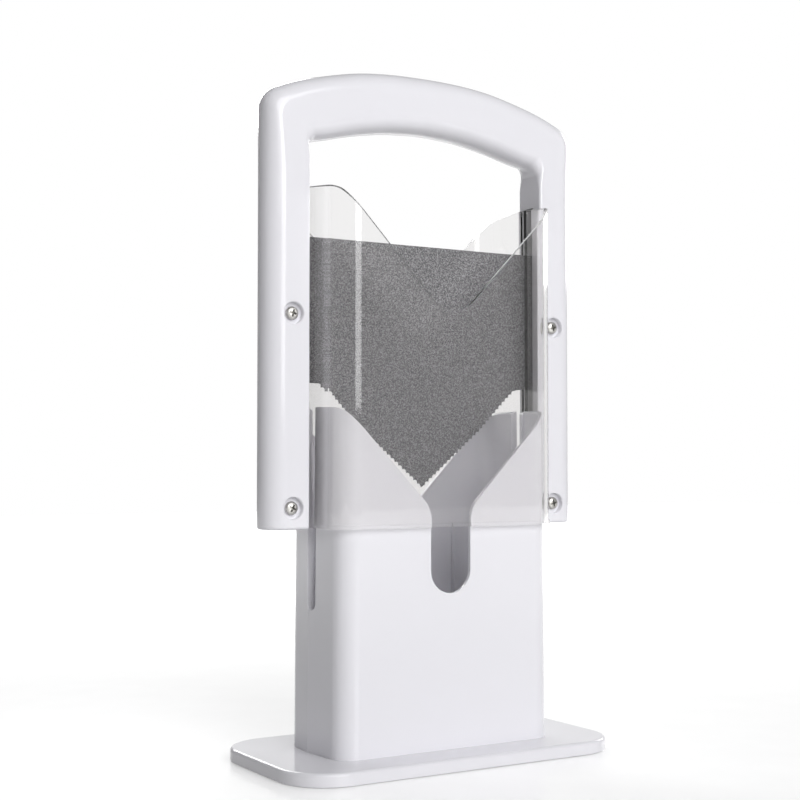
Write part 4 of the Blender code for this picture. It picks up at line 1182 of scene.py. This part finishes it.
@dataclass
class Shields:
    """Two clear channels that run down outside the holder, clamped in the legs."""

    handle: Handle
    half_width: float = 0.065
    depth: float = 0.0301
    wall: float = 0.0017
    taper: float = 0.08
    corner_radius: float = 0.013
    near: float = 0.0008
    lip_height: float = 0.002
    lip_width: float = 0.0005
    mouth_depth: float = 0.0636
    mouth_shoulder: float = 0.0033
    mouth_radius: float = 0.0163
    horn_radius: float = 0.01
    flange_thickness: float = 0.002
    flange_gap: float = 0.0003
    tab_height: float = 0.0046
    horn_rise: float = 0.0025
    horn_height: float = 0.04
    rim_radius: float = 0.00012

    def plan(self, side: Side, inset: float, outset: float) -> list[Point]:
        """Plan of a shield wall between two offsets from its outer face."""
        near = side.value * self.near
        far, back = side.value * (self.depth + outset), side.value * (self.depth - inset)

        def reach(along: float, offset: float) -> float:
            """Half width at a depth."""
            return self.half_width + offset - self.taper * abs(along)

        right = (
            (reach(far, outset), far, self.corner_radius + outset), (reach(near, outset), near, 0),
            (reach(near, -inset), near, 0), (reach(back, -inset), back, self.corner_radius - inset),
        )
        return rounded(mirrored(right), 20)

    def mouth(self, side: Side, high: float, shop: Workshop) -> Item:
        """Tool for the V cut in the top and all that lies above it."""
        wide = self.handle.outer + SPARE
        right = (
            (self.half_width - self.mouth_shoulder, high, self.horn_radius), (wide, high, 0),
            (wide, high + 2 * SPARE, 0),
        )
        corners = [(0, high - self.mouth_depth, self.mouth_radius)] + mirrored(right)
        span = side.span(-SPARE, self.depth + SPARE)
        return shop.slab("mouth", rounded(corners, 18), *span, Axis.DEEP)

    def flange(self, side: Side, hand: Hand, low: float, high: float, far: float,
               shop: Workshop) -> Item:
        """Flange that stands out from the edge of a wall into a leg."""
        root = hand.value * (self.half_width - self.wall / 2)
        step = hand.value * (self.handle.inner - self.flange_gap)
        tab = low - self.flange_gap * 2 + self.tab_height
        outline = (
            (root, low), (step, low), (step, tab), (hand.value * far, tab),
            (hand.value * far, high + SPARE), (root, high + SPARE),
        )
        reach = side.span(self.near, self.near + self.flange_thickness)
        return shop.slab("flange", outline, *reach, Axis.DEEP)

    def build(self, side: Side, shop: Workshop, plastic: Material) -> None:
        """Make one shield: wall, lip, flanges, V cut, rounded rims and screw holes."""
        label = side.name.lower()
        low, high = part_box(f"{label}_shield")
        shield = shop.slab("shield", self.plan(side, self.wall, 0), low.z, high.z + SPARE, Axis.UP)
        lip_plan = self.plan(side, self.wall - self.lip_width, self.lip_width)
        lip = shop.slab("lip", lip_plan, low.z, low.z + self.lip_height, Axis.UP)
        shop.combine(shield, lip, Join.ADD)
        for hand in Hand:
            shop.combine(shield, self.flange(side, hand, low.z, high.z, high.x, shop), Join.ADD)
        shop.combine(shield, self.mouth(side, high.z, shop), Join.CUT)
        shop.soften(shield, self.rim_radius, 2)
        for vert in shield.data.vertices:
            rise = max(0.0, 1 - (high.z - vert.co.z) / self.horn_height) * self.horn_rise
            vert.co.z += rise * (1 - abs(vert.co.y) / self.depth)
        for spot in self.handle.spots(0).values():
            shop.drill(shield, self.handle.hole_radius, 0, SPARE, spot, (0, side.value, 0))
        piece = Piece(f"clear_{label}_shield", "cutter", "clear_plastic", (f"{label}_shield",))
        shop.hand_over(shield, piece, plastic)


@dataclass
class Screws:
    """Pan head screws with a cross recess, in three sets."""

    head_radius: float = 0.00325
    head_height: float = 0.0021
    shank_radius: float = 0.0015
    tip: float = 0.0012
    recess_reach: float = 0.0019
    recess_width: float = 0.00095
    recess_depth: float = 0.0023
    recess_taper: float = 0.62
    seat_gap: float = 0.0003
    dome_steps: int = 14
    dome_powers: Point = (0.75, 0.8)
    skirt: float = 0.0003

    def blank(self, length: float) -> list[Point]:
        """Profile of a screw, from the middle of its head to its tip."""
        dome = []
        for k in range(self.dome_steps + 1):
            angle = math.pi / 2 * k / self.dome_steps
            across = math.sin(angle) ** self.dome_powers[0] * self.head_radius
            rise = math.cos(angle) ** self.dome_powers[1] * (self.head_height - self.skirt)
            dome.append((across if k else 0.0, self.skirt + rise))
        return dome + [
            (self.head_radius, 0), (self.shank_radius, 0), (self.shank_radius, self.tip - length),
            (0, -length),
        ]

    def recess(self, shop: Workshop) -> Item:
        """Tool for the cross recess, narrower towards its floor."""
        half, reach = self.recess_width / 2, self.recess_reach
        quarter = ((reach, -half), (reach, half), (half, half))
        cross = [
            (u * c - v * s, u * s + v * c)
            for c, s in ((1, 0), (0, 1), (-1, 0), (0, -1))
            for u, v in quarter
        ]
        top = self.head_height + self.skirt
        floor = self.head_height - self.recess_depth
        rings = []
        for height, share in ((top, 1.0), (floor, self.recess_taper)):
            rings.append([(u * share, v * share, height) for u, v in cross])
        return shop.loft("recess", rings)

    def build_set(
        self, name: str, body: str, length: float, spots: dict[str, Corner], facing: Corner,
        shop: Workshop, steel: Material,
    ) -> None:
        """Make one set of screws.

        Args:
            name: First words of the solids that the set stands for.
            body: Body that the screws travel with.
            length: Length under the head.
            spots: Places of the head seats, by the last words of the solids.
            facing: Turn that points the heads outwards.
            shop: Bench to work on.
            steel: Material of the screws.
        """
        screw = shop.turned("screw", self.blank(length), (0, 0, 0), (0, 0, 1), 40)
        shop.combine(screw, self.recess(shop), Join.CUT)
        shop.settle(screw)
        placed = shop.copies("screws", screw, list(spots.values()), facing, steel, math.pi / 2)
        nodes = tuple(f"{name}_{label}" for label in spots)
        shop.hand_over(placed, Piece(f"{name}_set", body, "bright_steel", nodes), steel)


@dataclass
class Studio:
    """Plain pale floor, soft light and the camera of the photograph."""

    floor_half: float = 3.0
    floor_drop: float = 0.0003
    paper_scale: float = 30.0
    paper_shade: Colour = (0.8, 0.8, 0.8, 1.0)
    paper_light: Colour = (0.82, 0.82, 0.82, 1.0)
    paper_gloss: float = 0.2
    # Painted floor glow, weak near the slicer and full white far off, and the distances from the
    # slicer over which it grows.
    painted_floor_glow: Point = (0.3, 1.0)
    painted_glow_reach: Point = (0.25, 1.4)
    ambient: float = 0.12
    dark_end: float = 0.35
    backdrop_side: Corner = (0.518, 0.855, 0.0)
    backdrop_reach: Point = (0.85, 0.99)
    camera_place: Corner = (-0.3885, -0.6208, 0.1466)
    heading: float = 31.21
    pitch: float = 2.28
    lens: float = 65.56
    lamp_aim: Corner = (0.0, 0.0, 0.17)

    def floor(self) -> None:
        """White sheet that keeps the shadow and shines a little. Its glow for background rays is
        painted light: weak near the slicer and full white further out.
        """
        reach = self.floor_half
        mesh = bpy.data.meshes.new("paper_floor")
        corners = [(u * reach, v * reach, -self.floor_drop) for u, v in SQUARE]
        mesh.from_pydata(corners, [], [(0, 1, 2, 3)])
        sheet = bpy.data.objects.new("paper_floor", mesh)
        bpy.context.scene.collection.objects.link(sheet)
        material, bench, shader, place = new_surface("white_paper")
        fibres = bench.noise(place, self.paper_scale)
        tone = bench.tones(fibres, ((0.3, self.paper_shade), (0.7, self.paper_light)))
        bench.fill(shader, {"Base Color": tone, "Roughness": self.paper_gloss})
        glow = bench.add("ShaderNodeEmission")
        # Painted light: the glow grows from weak near the slicer to full white far off, which paints
        # the floor darker round it.
        away = bench.add("ShaderNodeVectorMath", {0: place}, operation="LENGTH").outputs["Value"]
        glow_dimmed_near_slicer = bench.ease(away, self.painted_glow_reach, *self.painted_floor_glow)
        lift = bench.math("MULTIPLY", self.background_rays(bench), glow_dimmed_near_slicer)
        bench.tree.links.new(lift, glow.inputs["Strength"])
        both = bench.add("ShaderNodeAddShader", {0: shader.outputs[0], 1: glow.outputs[0]})
        output = bench.tree.nodes["Material Output"]
        bench.tree.links.new(both.outputs[0], output.inputs["Surface"])
        mesh.materials.append(material)

    def background_rays(self, bench: NodeBench) -> Socket:
        """One for rays that should see the white background, else zero."""
        rays = bench.add("ShaderNodeLightPath").outputs
        seen = bench.math("MAXIMUM", rays["Is Camera Ray"], rays["Is Glossy Ray"])
        return bench.math("MAXIMUM", seen, rays["Is Transmission Ray"])

    def surroundings(self) -> None:
        """White background that gives the object only a soft even light."""
        world = bpy.data.worlds.new("white_room")
        world.use_nodes = True
        bpy.context.scene.world = world
        bench = NodeBench(world.node_tree)
        direction = bench.add("ShaderNodeTexCoord").outputs["Generated"]
        facing = bench.add(
            "ShaderNodeVectorMath", {0: direction, 1: self.backdrop_side}, operation="DOT_PRODUCT",
        ).outputs["Value"]
        room = bench.ease(facing, self.backdrop_reach, self.dark_end, 1.0)
        rays = bench.add("ShaderNodeLightPath").outputs
        through = bench.math("MAXIMUM", rays["Is Camera Ray"], rays["Is Transmission Ray"])
        mirrored_room = bench.math("MULTIPLY", rays["Is Glossy Ray"], room)
        share = bench.math("MAXIMUM", through, mirrored_room)
        strength = bench.math("MAXIMUM", share, self.ambient)
        sky = world.node_tree.nodes["Background"]
        bench.fill(sky, {"Color": (1, 1, 1, 1), "Strength": strength})

    def lamp(self, name: str, place: Corner, size: Point, power: float) -> None:
        """Oblong soft lamp that shines at the middle of the slicer.

        Args:
            name: Name of the lamp.
            place: Where it stands.
            size: Its width and height.
            power: Power in watts.
        """
        light = bpy.data.lights.new(name, "AREA")
        light.shape = "RECTANGLE"
        light.size, light.size_y = size
        light.energy = power
        item = bpy.data.objects.new(name, light)
        item.location = place
        way = Vector(self.lamp_aim) - Vector(place)
        item.rotation_euler = way.to_track_quat("-Z", "Y").to_euler()
        bpy.context.scene.collection.objects.link(item)

    def camera(self) -> None:
        """Camera at the photograph's viewpoint."""
        data = bpy.data.cameras.new("photo_camera")
        data.lens = self.lens
        data.sensor_width = 36.0
        data.clip_start = 0.01
        item = bpy.data.objects.new("photo_camera", data)
        item.location = self.camera_place
        item.rotation_euler = Euler((math.radians(90 + self.pitch), 0, math.radians(-self.heading)))
        bpy.context.scene.collection.objects.link(item)
        bpy.context.scene.camera = item

    def build(self) -> None:
        """Set the stage."""
        self.floor()
        self.surroundings()
        for name, place, size, power in (
            ("key_softbox", (-0.12, -2.2, 1.42), (2.2, 1.5), 37.0),
            ("front_softbox", (0.3, -2.5, 0.75), (1.2, 1.0), 14.0),
            ("right_softbox", (2.2, 0.8, 1.0), (1.0, 1.0), 12.0),
            ("rear_softbox", (0.3, 2.2, 1.4), (1.2, 1.2), 25.0),
        ):
            self.lamp(name, place, size, power)
        self.camera()
        bpy.context.scene.view_settings.view_transform = "Standard"


def main() -> None:
    """Build the slicer piece by piece and set the stage."""
    logging.basicConfig(level=logging.INFO, format="%(message)s")
    shop = Workshop()
    plastic = MouldedPlastic().build()
    clear = ClearPlastic().build()
    coated = CoatedSteel().build()
    plated = PlatedSteel().build()
    plate = BasePlate()
    plate.build(shop, plastic)
    holder = Holder(plate)
    handle = Handle()
    shields = Shields(handle)
    for side in Side:
        holder.build_shell(side, shop, plastic)
        handle.build_half(side, shop, plastic)
        shields.build(side, shop, clear)
    Blade(handle).build(shop, coated)
    screws = Screws()
    gap = screws.seat_gap
    base_spots = plate.spots(plate.sink_depth - gap)
    holder_spots = holder.spots(holder.faces[Side.REAR] - holder.seat_depth + gap)
    handle_spots = handle.spots(-(handle.depth - handle.sink_depth + gap))
    for name, body, length, spots, tilt in (
        ("base_screw", "holder", 0.0125, base_spots, math.pi),
        ("holder_screw", "holder", 0.0205, holder_spots, -math.pi / 2),
        ("handle_screw", "cutter", 0.0135, handle_spots, math.pi / 2),
    ):
        screws.build_set(name, body, length, spots, (tilt, 0, 0), shop, plated)
    Studio().build()


if __name__ == "__main__":
    main()
